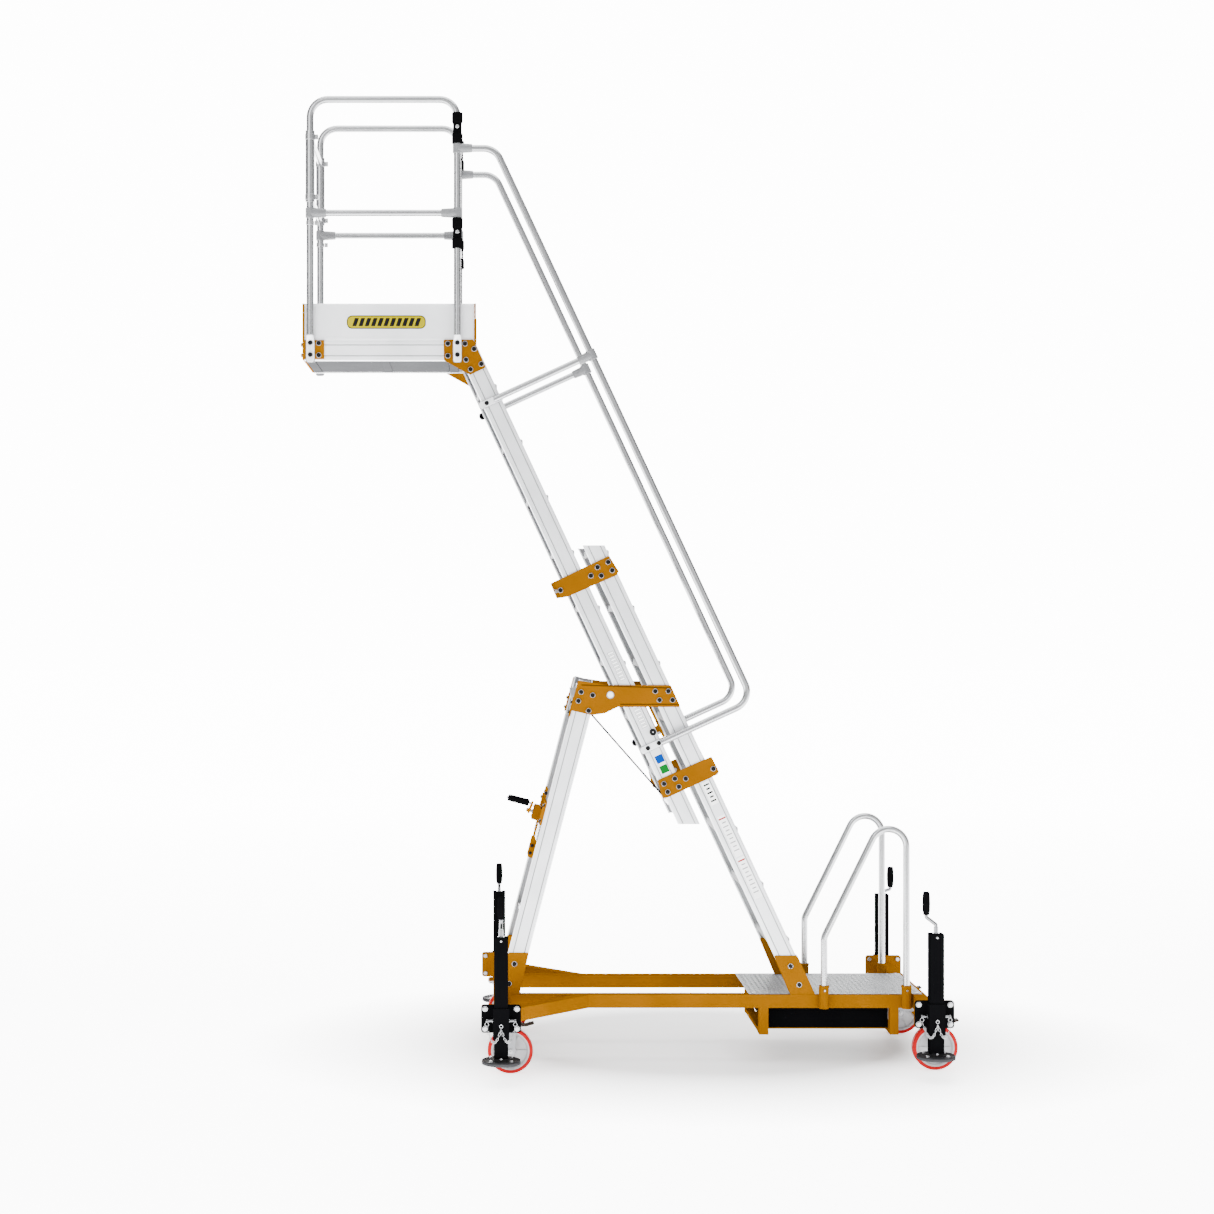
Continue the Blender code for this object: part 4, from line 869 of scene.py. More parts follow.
def build_platform():
    body, node = "upper_section", ["platform_frame"]
    channels, groove_shades, bars, panel = Shape(), Shape(), Shape(), Shape()
    start, bottom = CHANNEL_LOW.x, CHANNEL_LOW.z
    for side in BOTH:
        section = [(y, channel_level(depth)) for depth, y in channel_section(side)]
        channels.loft([[(start, y, z) for y, z in section], [(channel_end(z), y, z) for y, z in section]])
        # Strips of painted shade in the floors of the grooves.
        near, far = sorted(((HALF - 0.0030) * side, (HALF - 0.0022) * side))
        for groove in GROOVES:
            level = channel_level(groove)
            end = channel_end(level) - 0.0005
            groove_shades.box((start + 0.0005, near, level - 0.0018), (end, far, level + 0.0018))
    piece("platform_channels", channels, "board", body, node)
    piece("platform_channel_grooves", groove_shades, "groove", body)
    # Crossbars and underside panels in painted shade.
    for first, last in PLATFORM_BARS:
        bars.box((first, -INNER, bottom + 0.002), (last, INNER, low("platform_deck").z - 0.0005))
    piece("platform_crossbars", bars, "panel", body, node, 0.002)
    first, last = PLATFORM_BARS[0][1] + 0.002, PLATFORM_BARS[-1][0] - 0.002
    wide = (INNER - 0.002) / 2
    for i in range(4):
        left = -INNER + 0.002 + i * wide
        panel.box((first, left, bottom + 0.0045), (last, left + wide - 0.002, bottom + 0.0065))
    piece("platform_underside", panel, "panel", body, (), 0.0006)
    for name, side in SIDES.items():
        build_toe_board(name, side)


def build_toe_board(name, side):
    body, node = "upper_section", f"toe_board_{name}"
    lo, hi = low(node), high(node)
    inner, outer = sorted((abs(lo.y), abs(hi.y)))
    flat = outer - 0.0010
    outline = [(inner, lo.z), (flat, lo.z), (flat, lo.z + 0.003), (outer, lo.z + 0.004)]
    outline += [(outer, lo.z + 0.016), (flat, lo.z + 0.017), (flat, hi.z - 0.0060)]
    outline += [(outer, hi.z - 0.0050), (outer, hi.z - 0.0008), (outer - 0.0008, hi.z), (inner, hi.z)]
    face = Shape().loft([[(x, y * side, z) for y, z in outline] for x in (lo.x, hi.x)])
    piece(f"toe_board_face_{name}", face, "board", body, [node])
    centre = Vector(((lo.x + hi.x) / 2 - 0.013, lo.z + 0.084))
    for part, colour, width, height, lift in (
        ("rim", "fastener", 0.356, 0.060, 0.0), ("face", "yellow_mark", 0.348, 0.052, 0.0006)
    ):
        y_range = ((flat + lift) * side, (outer + 0.0002 + lift) * side)
        plate = Shape().slab(round_rect(width, height, height * 0.4, 6), y_range, centre)
        piece(f"board_label_{part}_{name}", plate, colour, body)
    bars = Shape()
    corners = ((-0.003, -0.018), (0.015, -0.018), (0.027, 0.018), (0.009, 0.018))
    for i in range(11):
        foot = (centre.x - 0.150 + i * 0.0280, centre.y)
        bars.slab(corners, ((outer + 0.0006) * side, (outer + 0.0010) * side), foot)
    piece(f"board_label_bars_{name}", bars, "fastener", body)


# Bolts and head plates
def leg_point(level, back, y=0.0):
    """A point at a height on the rear legs' middle line, moved back and sideways."""
    return slanted(LEG_LINE, LEG_UP, level) + LEG_BACK * back + Y * y


def big_bolt(heads, washers, centre, axis):
    """A wide black bolt on a pale washer."""
    heads.bolt(centre, axis, BOLT_HEAD, under=washers, washer=BOLT_WASHER)


def build_bolts():
    for name, (body, places) in BRACKET_BOLTS.items():
        heads, washers, nuts = Shape(), Shape(), Shape()
        for side in BOTH:
            for x, z in places:
                big_bolt(heads, washers, (x, FACE * side, z), Y * side)
                if name != "foot_bracket":
                    nuts.bolt((x, (HALF - STILE_WALL) * side, z), -Y * side, 0.013, 0.006, 0.009)
        if name == "head_plate":
            for side in BOTH:
                for level in HEAD_LIP_BOLTS:
                    heads.bolt(leg_point(level, STILE_HALF + SHEET + SKIN, 0.258 * side), LEG_BACK, 0.013)
        piece(f"{name}_bolts", heads, "fastener", body)
        piece(f"{name}_washers", washers, "zinc", body)
        if nuts.points:
            piece(f"{name}_nuts", nuts, "zinc", body)
    heads, washers = Shape(), Shape()
    for side in BOTH:
        for x in (POST_FRONT, POST_REAR):
            for z in POST_BOLTS:
                big_bolt(heads, washers, (x, (FACE + 0.0083) * side, z), Y * side)
        for z in END_FRAME_BOLTS:
            heads.bolt((low("front_end_frame").x, 0.262 * side, z), -X, under=washers)
    piece("post_bolts", heads, "fastener", "upper_section")
    piece("post_washers", washers, "zinc", "upper_section")


def build_head_plates():
    """Dark strips of painted shade across the head plates, and their lined hole with a pale plug."""
    fold_shades, liner, plug = Shape(), Shape(), Shape()
    x, z = HEAD_HOLE
    for side in BOTH:
        for left, right in HEAD_FOLD_SHADES:
            outline = [left, right, (right[0], right[1] - 0.0050), (left[0], left[1] - 0.0050)]
            fold_shades.slab(outline, ((FACE - 0.001) * side, (FACE + 0.0006) * side))
        liner.pipe((x, (HALF - 0.030) * side, z), (x, (FACE + 0.001) * side, z), 0.0178, 0.0140)
        plug.rod((x, (HALF - 0.004) * side, z), (x, (FACE - 0.001) * side, z), 0.0141)
    piece("head_plate_folds", fold_shades, "fold", "chassis")
    piece("head_plate_liners", liner, "zinc", "chassis")
    piece("head_plate_plugs", plug, "label", "chassis")


def build_foot_plates():
    """Plates on the inner faces of the ladder's feet, with the same outline as the outer ones."""
    plates, heads, washers = Shape(), Shape(), Shape()
    near, floor = INNER - 0.0004, high("deck_plate").z + SKIN
    outline = rounded([(0.662, 0.483), (0.767, 0.483), (0.8455, floor), (0.7345, floor)], 0.005, 4, True)
    for side in BOTH:
        plates.slab(outline, (near * side, (near - SHEET) * side))
        for x, z in BRACKET_BOLTS["foot_bracket"][1]:
            big_bolt(heads, washers, (x, (near - SHEET) * side, z), -Y * side)
    piece("inner_foot_plates", plates, "orange", "chassis", (), 0.0006)
    piece("inner_foot_bolts", heads, "fastener", "chassis")
    piece("inner_foot_washers", washers, "zinc", "chassis")


# Winch, rope and rollers
def build_drum():
    node = "winch_drum"
    at = pivot(node)
    half = [(0.0060, 0.0550), (0.0060, 0.0490), (0.0320, 0.0490), (0.0330, 0.0480), (0.0330, 0.0465)]
    half += [(0.0320, 0.0460), (0.0190, 0.0460)]
    piece("winch_drum_spool", Shape().turned(mirrored(half), at, Y, 40), "zinc", node, [node])
    coil = Shape().tube(helix(at - Y * 0.022, X, Z, 0.0222, Y * 0.0063, 7, 20), 0.0030, 8)
    piece("winch_drum_wraps", coil, "rope", node, [node])


def build_winch_crank():
    node = "winch_crank"
    start = pivot(node)
    swing = (LEG_UP * 0.30 - Y * 0.954).normalized()
    end = start + LEG_BACK * CRANK_REACH
    base = end + swing * CRANK_ARM
    metal, arm, grip = Shape(), Shape(), Shape()
    metal.rod(start, end + LEG_BACK * 0.006, 0.0070)
    metal.pipe(start + LEG_BACK * 0.016, start + LEG_BACK * 0.024, 0.0120, 0.0065)
    metal.rod(base - LEG_BACK * 0.004, base + LEG_BACK * 0.118, 0.0050)
    metal.bolt(base + LEG_BACK * 0.115, LEG_BACK, 0.011, 0.004, 0.0)
    piece("winch_crank_shaft", metal, "chrome", node, [node])
    across = swing.cross(LEG_BACK).normalized()
    widths = ((-0.014, 0.008), (-0.008, 0.0135), (0.0, 0.0145))
    widths += ((CRANK_ARM, 0.0115), (CRANK_ARM + 0.008, 0.009), (CRANK_ARM + 0.012, 0.005))
    rings = []
    for travel, wide in widths:
        spot = end + swing * travel
        corners = ((-wide, -0.004), (wide, -0.004), (wide, 0.004), (-wide, 0.004))
        rings.append([spot + across * a + LEG_BACK * b for a, b in corners])
    arm.loft(rings)
    arm.bolt(end + LEG_BACK * 0.004, LEG_BACK, 0.017, 0.010, 0.0)
    piece("winch_crank_arm", arm, "orange", node, [node], 0.001)
    profile = [(0.0135, 0.0150), (0.0155, 0.0170), (0.0158, 0.0240)]
    for i in range(6):
        ring = 0.030 + i * 0.0125
        profile += [(0.0160, ring), (0.0148, ring + 0.0015), (0.0160, ring + 0.0030)]
    profile += [(0.0155, 0.1080), (0.0132, 0.1140)]
    piece("winch_crank_grip", grip.turned(profile, base, LEG_BACK, 28), "grip", node, [node])


def build_winch():
    build_drum()
    build_winch_crank()
    centre = pivot("winch_crank") - LEG_BACK * WINCH_DEPTH
    bolts, ribs = Shape(), Shape()
    for y in (-0.215, -0.240, 0.215, 0.240):
        for along in (-0.014, 0.058):
            bolts.bolt(centre + LEG_BACK * 0.0515 + Y * y + LEG_UP * along, LEG_BACK, 0.013, 0.006, 0.009)
    for a in (-0.022, 0.022):
        for b in (-0.026, 0.026):
            bolts.bolt(centre + LEG_BACK * 0.0860 + Y * b + LEG_UP * a, LEG_BACK, 0.008, 0.004, 0.0)
    for side in BOTH:
        for along in (-0.185, -0.150, 0.030, 0.100):
            back = 0.0525 if along < 0 else 0.0510
            spot = centre + LEG_BACK * back + Y * 0.056 * side + LEG_UP * along
            bolts.bolt(spot, Y * side, 0.0150, 0.006, 0.0)
    piece("winch_bolts", bolts, "fastener", "chassis")
    axes = (Y, LEG_BACK, LEG_UP)
    for i in range(5):
        for side in BOTH:
            spot = centre + LEG_BACK * 0.0485 - LEG_UP * (0.041 + i * 0.0140) + Y * 0.155 * side
            ribs.block(spot, axes, (0.190, 0.007, 0.008))
    for side in BOTH:
        spot = centre + LEG_BACK * 0.0465 - LEG_UP * 0.069 + Y * 0.155 * side
        ribs.block(spot, axes, (0.190, 0.004, 0.074))
    piece("winch_backing_profile", ribs, "tube", "chassis", (), 0.0006)


def twisted(path, radius, turns):
    """Six strands laid round a core, along a path in the X and Z plane."""
    shape = Shape()
    shape.tube(path, radius * 0.60, 8)
    total = sum((b - a).length for a, b in zip(path, path[1:]))
    for strand in range(6):
        line = []
        travelled = 0.0
        for i, point in enumerate(path):
            if i:
                travelled += (point - path[i - 1]).length
            along = (path[min(i + 1, len(path) - 1)] - path[max(i - 1, 0)]).normalized()
            angle = 2 * math.pi * (strand / 6 + travelled / total * turns)
            line.append(point + (Y * math.cos(angle) + along.cross(Y) * math.sin(angle)) * radius * 0.62)
        shape.tube(line, radius * 0.42, 6)
    return shape


def rope_route(drum, pulley):
    """The rope's path off the drum and round the pulley, to where it leaves for the anchor rod."""
    rise, fall = pulley - drum, ROPE_ANCHOR - pulley
    lean = math.atan2(rise.z, rise.x) + math.asin((PULLEY_ROPE_R + DRUM_ROPE_R) / rise.length)
    off = Vector((math.sin(lean), 0.0, -math.cos(lean)))
    tangent = math.sqrt(fall.length**2 - PULLEY_ROPE_R**2)
    first = math.atan2(-off.z, -off.x)
    last = math.atan2(fall.z, fall.x) - math.atan2(PULLEY_ROPE_R, tangent) + math.radians(90.0)
    if first < last:
        first += 2 * math.pi
    wrap = arc((pulley.x, pulley.z), PULLEY_ROPE_R, math.degrees(first), math.degrees(last), 16)
    return [drum + off * DRUM_ROPE_R] + [Vector((x, pulley.y, z)) for x, z in wrap]


def build_rope():
    pulley = pivot("head_pulley")
    path = rope_route(pivot("winch_drum"), pulley)
    steady = twisted(refine(path, 0.005), ROPE_R, ROPE_TURNS)
    piece("hoist_rope_steady", steady, "rope", "chassis", ["lift_rope"])
    tangent = path[-1]
    end = ROPE_ANCHOR + (tangent - ROPE_ANCHOR).normalized() * 0.0105
    free = twisted(refine([tangent, end], 0.005), ROPE_R, ROPE_TURNS)
    item = piece("hoist_rope_free", free, "rope", None, ["lift_rope"])
    tuple(tangent)
    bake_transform(item)
    half = [(0.0060, 0.0155), (0.0060, 0.0110), (0.0330, 0.0110), (0.0340, 0.0100), (0.0340, 0.0090)]
    groove = [(0.0274 + 0.0048 * v, 0.0052 * u) for u, v in arc((0, 0), 1.0, 180, 360, 8)]
    piece("head_sheave", Shape().turned(mirrored(half, groove), pulley, Y, 40), "zinc", "head_pulley",
          ["head_pulley"])
    pin = Shape()
    for side in BOTH:
        pin.bolt(pulley + Y * 0.0160 * side, Y * side, 0.013, 0.005, 0.0)
    piece("head_sheave_pin", pin, "zinc", "chassis")


def build_rollers():
    for node in ("upper_guide_rollers", "lower_guide_rollers"):
        at = pivot(node)
        radius = (high(node).z - low(node).z) / 2
        start, end = HALF - 0.026, HALF - 0.002
        profile = [(0.004, start), (radius - 0.001, start), (radius, start + 0.001), (radius, end - 0.001)]
        profile += [(radius - 0.001, end), (0.004, end)]
        tyres, spindle = Shape(), Shape()
        spindle.rod(at - Y * (HALF - 0.001), at + Y * (HALF - 0.001), 0.0042)
        for side in BOTH:
            tyres.turned(profile, at, Y * side, 32, True)
            spindle.pipe(at + Y * (HALF - 0.034) * side, at + Y * (HALF - 0.027) * side, 0.0085, 0.004)
        piece(f"{node}_tyres", tyres, "roller", node, [node])
        piece(f"{node}_spindle", spindle, "zinc", node, [node])


def build_latch():
    at = pivot("latch")
    caps, centres, springs = Shape(), Shape(), Shape()
    for side in BOTH:
        out = Y * side
        caps.pipe(at + out * 0.2832, at + out * 0.2872, 0.0158, 0.0036)
        centres.button(at + out * 0.2830, out, 0.0035, 0.0036)
        for travel in (0.030, 0.100):
            caps.button(at + FRONT * 0.039 + UP * travel + out * 0.2365, out, 0.0040, 0.0025)
        springs.tube(helix(at + out * 0.196, X, Z, 0.0098, out * 0.00416, 6, 16), 0.0013, 8)
    piece("latch_bolts", caps, "fastener", "latch")
    piece("latch_pivot_centres", centres, "label", "latch")
    piece("latch_springs", springs, "zinc", "latch")


# Jacks
def chain(shape, path, outward):
    """Oval links, turned a quarter one after the other, along a hanging line."""
    count = len(path) - 1
    length = sum((b - a).length for a, b in zip(path, path[1:]))
    links = max(3, round(length / 0.0115))
    for i in range(links):
        position = (i + 0.5) / links * count
        index = min(int(position), count - 1)
        at = path[index].lerp(path[index + 1], position - index)
        along = (path[index + 1] - path[index]).normalized()
        normal = outward if i % 2 else outward.cross(along).normalized()
        across = normal.cross(along).normalized()
        ring = []
        for k in range(12):
            angle = 2 * math.pi * k / 12
            stretch = 0.0034 if abs(math.cos(angle)) > 0.01 else 0.0
            along_by = 0.0042 * math.cos(angle) + math.copysign(stretch, math.cos(angle))
            ring.append(at + along * along_by + across * 0.0042 * math.sin(angle))
        shape.tube(ring, 0.0010, 6, True)


def hanging_line(hook, eye, side):
    """A chain's line from the hook to a pin's eye, sagging between them."""
    path = []
    for i in range(61):
        share = i / 60
        ease = min(max((share - 0.60) / 0.40, 0.0), 1.0)
        x = hook.x + (eye.x - hook.x) * share
        y = hook.y + (0.0025 - 0.0345 * ease * ease) * side
        z = hook.z - 0.016 + (eye.z - 0.008 - hook.z + 0.016) * share - 0.060 * 4 * share * (1 - share)
        path.append(Vector((x, y, z)))
    return path


def build_jack(corner):
    at = pivot(f"jack_crank_{corner}")
    side = 1 if at.y > 0 else -1
    out = Y * side
    lo, hi = low(f"jack_body_{corner}"), high(f"jack_body_{corner}")
    face = abs(at.y) - JACK_HALF + 0.0015
    inner = min(abs(lo.y), abs(hi.y)) - 0.0075
    bolts, pins, links, seams = Shape(), Shape(), Shape(), Shape()
    for dx in (-JACK_BOLTS[0], JACK_BOLTS[0]):
        for dz in (-JACK_BOLTS[1], JACK_BOLTS[1]):
            x, z = at.x + dx, JACK_PLATE_Z + dz
            bolts.bolt((x, face * side, z), out, 0.0190, 0.0080, 0.0125)
            bolts.bolt((x, inner * side, z), -out, 0.0190, 0.0080, 0.0)
    bolts.button((at.x, at.y + JACK_HALF * side, hi.z - 0.013), out, 0.0050, 0.0030)
    piece(f"jack_plate_bolts_{corner}", bolts, "zinc", "chassis")
    hook = Vector((at.x, at.y + 0.0375 * side, JACK_CHAIN_Z))
    links.tube(circle(hook - Z * 0.006 + out * 0.001, X, Z, 0.0070), 0.0013, 6, True)
    links.button(hook - out * 0.0025, out, 0.0035, 0.0045)
    for away in (-X, X):
        start = Vector((at.x, at.y, JACK_PLATE_Z - 0.004)) + away * 0.034
        end = start + away * 0.024
        pins.rod(start, end, 0.0055)
        pins.pipe(start, start + away * 0.004, 0.0095, 0.005)
        pins.rod(end - away * 0.001, end + away * 0.007, 0.0080, 20, 0.0015)
        eye = end + away * 0.003 - Z * 0.014 + out * 0.003
        links.tube(circle(eye, X, Z, 0.0080), 0.0012, 6, True)
        chain(links, hanging_line(hook, eye, side), out)
    piece(f"jack_locking_pins_{corner}", pins, "chrome", "chassis")
    piece(f"jack_pin_chains_{corner}", links, "zinc", "chassis")
    seams.prism(round_rect(0.0615, 0.0615, 0.004), at, (hi.z - 0.004, hi.z + 0.0015))
    for level in JACK_SEAMS:
        seams.prism(round_rect(0.0705, 0.0705, 0.004), at, (level - 0.0015, level + 0.0010))
    piece(f"jack_tube_seams_{corner}", seams, "black", "chassis", (), 0.0006)
    build_jack_crank(corner, at)
    build_foot(corner, at)


def build_jack_crank(corner, at):
    node = f"jack_crank_{corner}"
    lo, top = low(node), high(node).z
    away = middle(node) - at
    away = Vector((away.x, away.y, 0.0)).normalized()
    foot, elbow, collar = (top - drop for drop in CRANK_DROPS["near" if at.y < 0 else "far"])
    steps = [(0.0, foot), (0.0, elbow), (CRANK_OFFSET, top - 0.110), (CRANK_OFFSET, top - 0.098)]
    metal, grip, screw = Shape(), Shape(), Shape()
    metal.tube(rounded([Vector((at.x, at.y, z)) + away * out for out, z in steps], 0.008, 5), 0.0078, 16)
    metal.rod((at.x, at.y, foot), (at.x, at.y, collar), 0.0100)
    rest = high(f"jack_body_{corner}").z + 0.0005
    metal.pipe((at.x, at.y, rest), (at.x, at.y, rest + 0.0030), 0.0150, 0.0098)
    spot = Vector((at.x, at.y, 0.0)) + away * CRANK_OFFSET
    metal.rod(spot + Z * (top - 0.104), spot + Z * (top - 0.099), 0.0085)
    piece(f"jack_crank_rod_{corner}", metal, "chrome", node, [node])
    profile = [(0.0120, 0.0), (0.0135, 0.0015), (0.0140, 0.0060), (0.0128, 0.0085), (0.0148, 0.0110)]
    for i in range(7):
        ring = 0.018 + i * 0.0100
        swell = 0.0170 - abs(i - 3) * 0.0003
        profile += [(swell, ring), (swell - 0.0007, ring + 0.0010), (swell, ring + 0.0020)]
    profile += [(0.0150, 0.0880), (0.0142, 0.0950), (0.0120, 0.1000)]
    grip.turned(profile, spot + Z * (top - 0.100), Z, 28)
    piece(f"jack_crank_grip_{corner}", grip, "grip", node, [node])
    screw.rod((at.x, at.y, lo.z), (at.x, at.y, foot + 0.001), 0.0070)
    start = Vector((at.x, at.y, lo.z + 0.005))
    screw.tube(helix(start, X, Y, 0.0070, Z * SCREW_LEAD, SCREW_TURNS, 10), 0.0012, 4)
    piece(f"jack_screw_{corner}", screw, "zinc", node, [node])


def build_foot(corner, at):
    """The square inner tube and its round foot: a dark plate on a grey pad, held by four bolts."""
    node = f"jack_leg_{corner}"
    lo, hi = low(node), high(node)
    base = Vector((at.x, at.y, lo.z))
    radius = (hi.x - lo.x) / 2
    pad, dish, bolts = Shape(), Shape(), Shape()
    post = Shape().prism(round_rect(0.0504, 0.0504, 0.003), at, (lo.z + 0.0155, hi.z))
    piece(f"jack_leg_post_{corner}", post, "black", node, [node])
    profile = [(radius - 0.0045, 0.0), (radius - 0.0015, 0.0012), (radius, 0.0035), (radius, 0.0115)]
    pad.turned(profile + [(radius - 0.0005, 0.0125)], base, Z, 64)
    piece(f"jack_foot_pad_{corner}", pad, "foot", node, [node])
    profile = [(radius - 0.001, 0.0125), (radius - 0.0005, 0.0135), (radius - 0.0010, 0.0168)]
    profile += [(radius - 0.0025, 0.0175), (radius - 0.0060, 0.0172), (radius - 0.0080, 0.0158)]
    dish.turned(profile + [(0.0400, 0.0152)], base, Z, 64)
    for size, bottom, top in ((0.074, 0.0150, 0.0185), (0.060, 0.0180, 0.0300)):
        dish.prism(round_rect(size, size, 0.005), at, (lo.z + bottom, lo.z + top))
    piece(f"jack_foot_plate_{corner}", dish, "foot_top", node, [node], 0.0006)
    for u, v in arc((0, 0), FOOT_BOLT_CIRCLE, 45, 315, 3):
        bolts.bolt(base + Vector((u, v, 0.0155)), Z, 0.013, 0.006, 0.009)
    for side in BOTH:
        bolts.button(base + Vector((0.0, JACK_HALF * side, 0.0245)), Y * side, 0.0055, 0.0035)
    piece(f"jack_foot_bolts_{corner}", bolts, "zinc", node)


# Casters
def build_wheel(corner, wheel):
    axle = pivot(wheel)
    tyre, centre = Shape(), Shape()
    profile = [(0.0845, -WHEEL_HALF + 0.0010), (0.0875, -WHEEL_HALF)]
    for u, v in arc((0, 0), TYRE_ROUND, -90, 90, 8):
        shoulder = math.copysign(WHEEL_HALF - TYRE_ROUND, v if abs(v) > 1e-9 else -1)
        profile.append((WHEEL_R - TYRE_ROUND + u, shoulder + v))
    profile += [(0.0875, WHEEL_HALF), (0.0845, WHEEL_HALF - 0.0010)]
    tyre.turned(profile, axle, Y, 72, True)
    piece(f"caster_tyre_{corner}", tyre, "red", wheel, [wheel])
    half = [(0.0072, 0.0240), (0.0220, 0.0240), (0.0240, 0.0230), (0.0270, 0.0090), (0.0300, 0.0080)]
    half += [(0.0560, 0.0065), (0.0720, 0.0080), (0.0775, 0.0190), (0.0850, 0.0212)]
    centre.turned(mirrored(half), axle, Y, 72, True)
    for i in range(6):
        angle = math.radians(60 * i)
        spoke = Vector((math.cos(angle), 0.0, math.sin(angle)))
        for side in BOTH:
            spot = axle + spoke * 0.051 + Y * 0.0085 * side
            centre.block(spot, (spoke, Y, spoke.cross(Y)), (0.050, 0.008, 0.004))
    piece(f"caster_centre_{corner}", centre, "disc", wheel, [wheel])


def build_caster(corner):
    fork, wheel, pedal = (f"caster_{part}_{corner}" for part in ("fork", "wheel", "pedal"))
    build_wheel(corner, wheel)
    swivel, axle, hinge, hi = pivot(fork), pivot(wheel), pivot(pedal), high(pedal)
    metal, bolts, lever = Shape(), Shape(), Shape()
    for side in BOTH:
        metal.bolt(axle + Y * 0.0300 * side, Y * side, 0.0200, 0.0085, 0.0130)
        metal.button(axle + Y * 0.0400 * side, Y * side, 0.0055, 0.0040)
    race = [(0.037, 0.0), (0.040, 0.003), (0.040, 0.009), (0.036, 0.012)]
    metal.turned(race, (swivel.x, swivel.y, 0.2235), Z, 40)
    nut = [(0.010, 0.0), (0.013, 0.0), (0.013, -0.008), (0.009, -0.010)]
    metal.turned(nut, (swivel.x, swivel.y, 0.2050), Z, 6)
    piece(f"caster_axle_and_races_{corner}", metal, "zinc", fork)
    top = Shape().prism(round_rect(0.112, 0.092, 0.008), swivel, CASTER_PLATE)
    piece(f"caster_top_plate_{corner}", top, "zinc", "chassis", (), 0.0006)
    for dx in (-0.044, 0.044):
        for dy in (-0.034, 0.034):
            bolts.bolt((swivel.x + dx, swivel.y + dy, CASTER_PLATE[0]), -Z, 0.0130, 0.0060, 0.0090)
    piece(f"caster_plate_bolts_{corner}", bolts, "zinc", "chassis")
    lever.rod(hinge - Y * 0.0285, hinge + Y * 0.0285, 0.0045)
    for i in range(4):
        spot = (hi.x - 0.006 - i * 0.007, swivel.y, hi.z - 0.0003 - i * 0.0012)
        lever.block(spot, (X, Y, Z), (0.003, 0.040, 0.003))
    piece(f"caster_pedal_ribs_{corner}", lever, "pedal", pedal)


# Chassis
def build_chassis():
    beads, bands, rivets = Shape(), Shape(), Shape()
    rear_x, front_x = pivot("caster_fork_rear_left").x, pivot("caster_fork_front_left").x
    outer, inner, bottom, top = (CHASSIS_RAIL[part] for part in ("outer", "inner", "bottom", "top"))
    for side in BOTH:
        for x in (rear_x + 0.031, front_x - 0.031):
            for y in (outer, inner):
                beads.tube([(x, y * side, bottom + 0.003), (x, y * side, top - 0.003)], 0.0025, 8)
            beads.tube([(x, inner * side, top), (x, outer * side, top)], 0.0025, 8)
        for x, span in ((rear_x, 0.700), (front_x, 0.600)):
            for z in (bottom, top):
                beads.tube([(x - 0.029, span * side, z), (x + 0.029, span * side, z)], 0.0026, 8)
            for dx in (-0.030, 0.030):
                beads.tube([(x + dx, span * side, bottom), (x + dx, span * side, top)], 0.0026, 8)
    piece("weld_beads", beads, "orange", "chassis")
    lo, hi = low("counterweight"), high("counterweight")
    for level in WEIGHT_BANDS:
        bands.box((lo.x + 0.001, lo.y - 0.0012, level), (hi.x - 0.001, hi.y + 0.0012, level + 0.003))
    piece("counterweight_bands", bands, "black", "chassis", (), 0.0005)
    lo, hi = low("deck_plate"), high("deck_plate")
    for x in (lo.x + 0.020, hi.x - 0.020):
        for y in (-0.255, 0.0, 0.255):
            if y or x > 1.0:
                rivets.button((x, y, hi.z - SKIN), Z, 0.0065, 0.0025)
    piece("deck_rivets", rivets, "zinc", "chassis")


# Labels
def label(name, start, travel, size, colour, body, side, lift=0.0):
    """A thin plate on the outer face of a stile."""
    face = HALF - (CLEARANCE[SLIDING] if body == "upper_section" else 0.0) + 0.0001 + lift
    at = start + UP * travel + FRONT * 0.004 + Y * face * side
    plate = Shape().block(at, (UP, FRONT, Y), (size[0], size[1], 0.0005))
    piece(f"{name}_{'left' if side < 0 else 'right'}", plate, colour, body)


def ladder_labels(side):
    """A short label with grey rows and two long ones with a red row first."""
    start = slanted(FIXED_LINE, UP, 1.100)
    for i, (travel, length, rows) in enumerate(((0.125, 0.110, 5), (-0.088, 0.200, 9), (-0.295, 0.200, 9))):
        name = f"ladder_label_{i}"
        label(name, start, travel, (length, 0.036), "label", "chassis", side)
        for row in range(rows):
            size, colour = (0.0045, 0.026 - (row % 2) * 0.008), "cast"
            if i == 0:
                size, colour = (0.0075, size[1]), "grey_mark"
            elif row == 0:
                size, colour = (0.0070, 0.034), "red_mark"
            along = travel + length / 2 - 0.014 - row * 0.0195
            label(f"{name}_row_{row}", start, along, size, colour, "chassis", side, 0.0004)


def section_labels(side):
    """Two coloured tags and two columns of white bars, each on a grey rim of painted shade, as round raised
    lettering.
    """
    body = "upper_section"
    start = slanted(SLIDING_LINE, UP, 1.000)
    label("blue_tag", start, 0.405, (0.036, 0.036), "blue_mark", body, side)
    label("green_tag", start, 0.355, (0.036, 0.036), "green_mark", body, side)
    for i in range(2):
        for row in range(9):
            name = f"section_label_{i}_row_{row}"
            along = 0.930 - i * 0.235 - row * 0.0160
            wide = 0.026 - (row % 3) * 0.002
            # Painted shade: a grey rim round each white bar.
            label(f"{name}_rim", start, along, (0.0115, wide + 0.003), "cast", body, side)
            label(name, start, along, (0.0080, wide), "label", body, side, 0.0003)


def dress_frame():
    dress(["chassis_frame", "winch_frame", "front_end_frame", "latch"], "orange")
    for part in ("head_plate", "upper_guide_bracket", "lower_guide_bracket", "gusset_bracket"):
        dress([f"{part}_{name}" for name in SIDES], "orange_plate")
    dress(["counterweight"] + [f"jack_body_{corner}" for corner in CORNERS], "black")
    dress([f"caster_fork_{corner}" for corner in CORNERS], "steel")
    dress([f"caster_pedal_{corner}" for corner in CORNERS], "pedal")


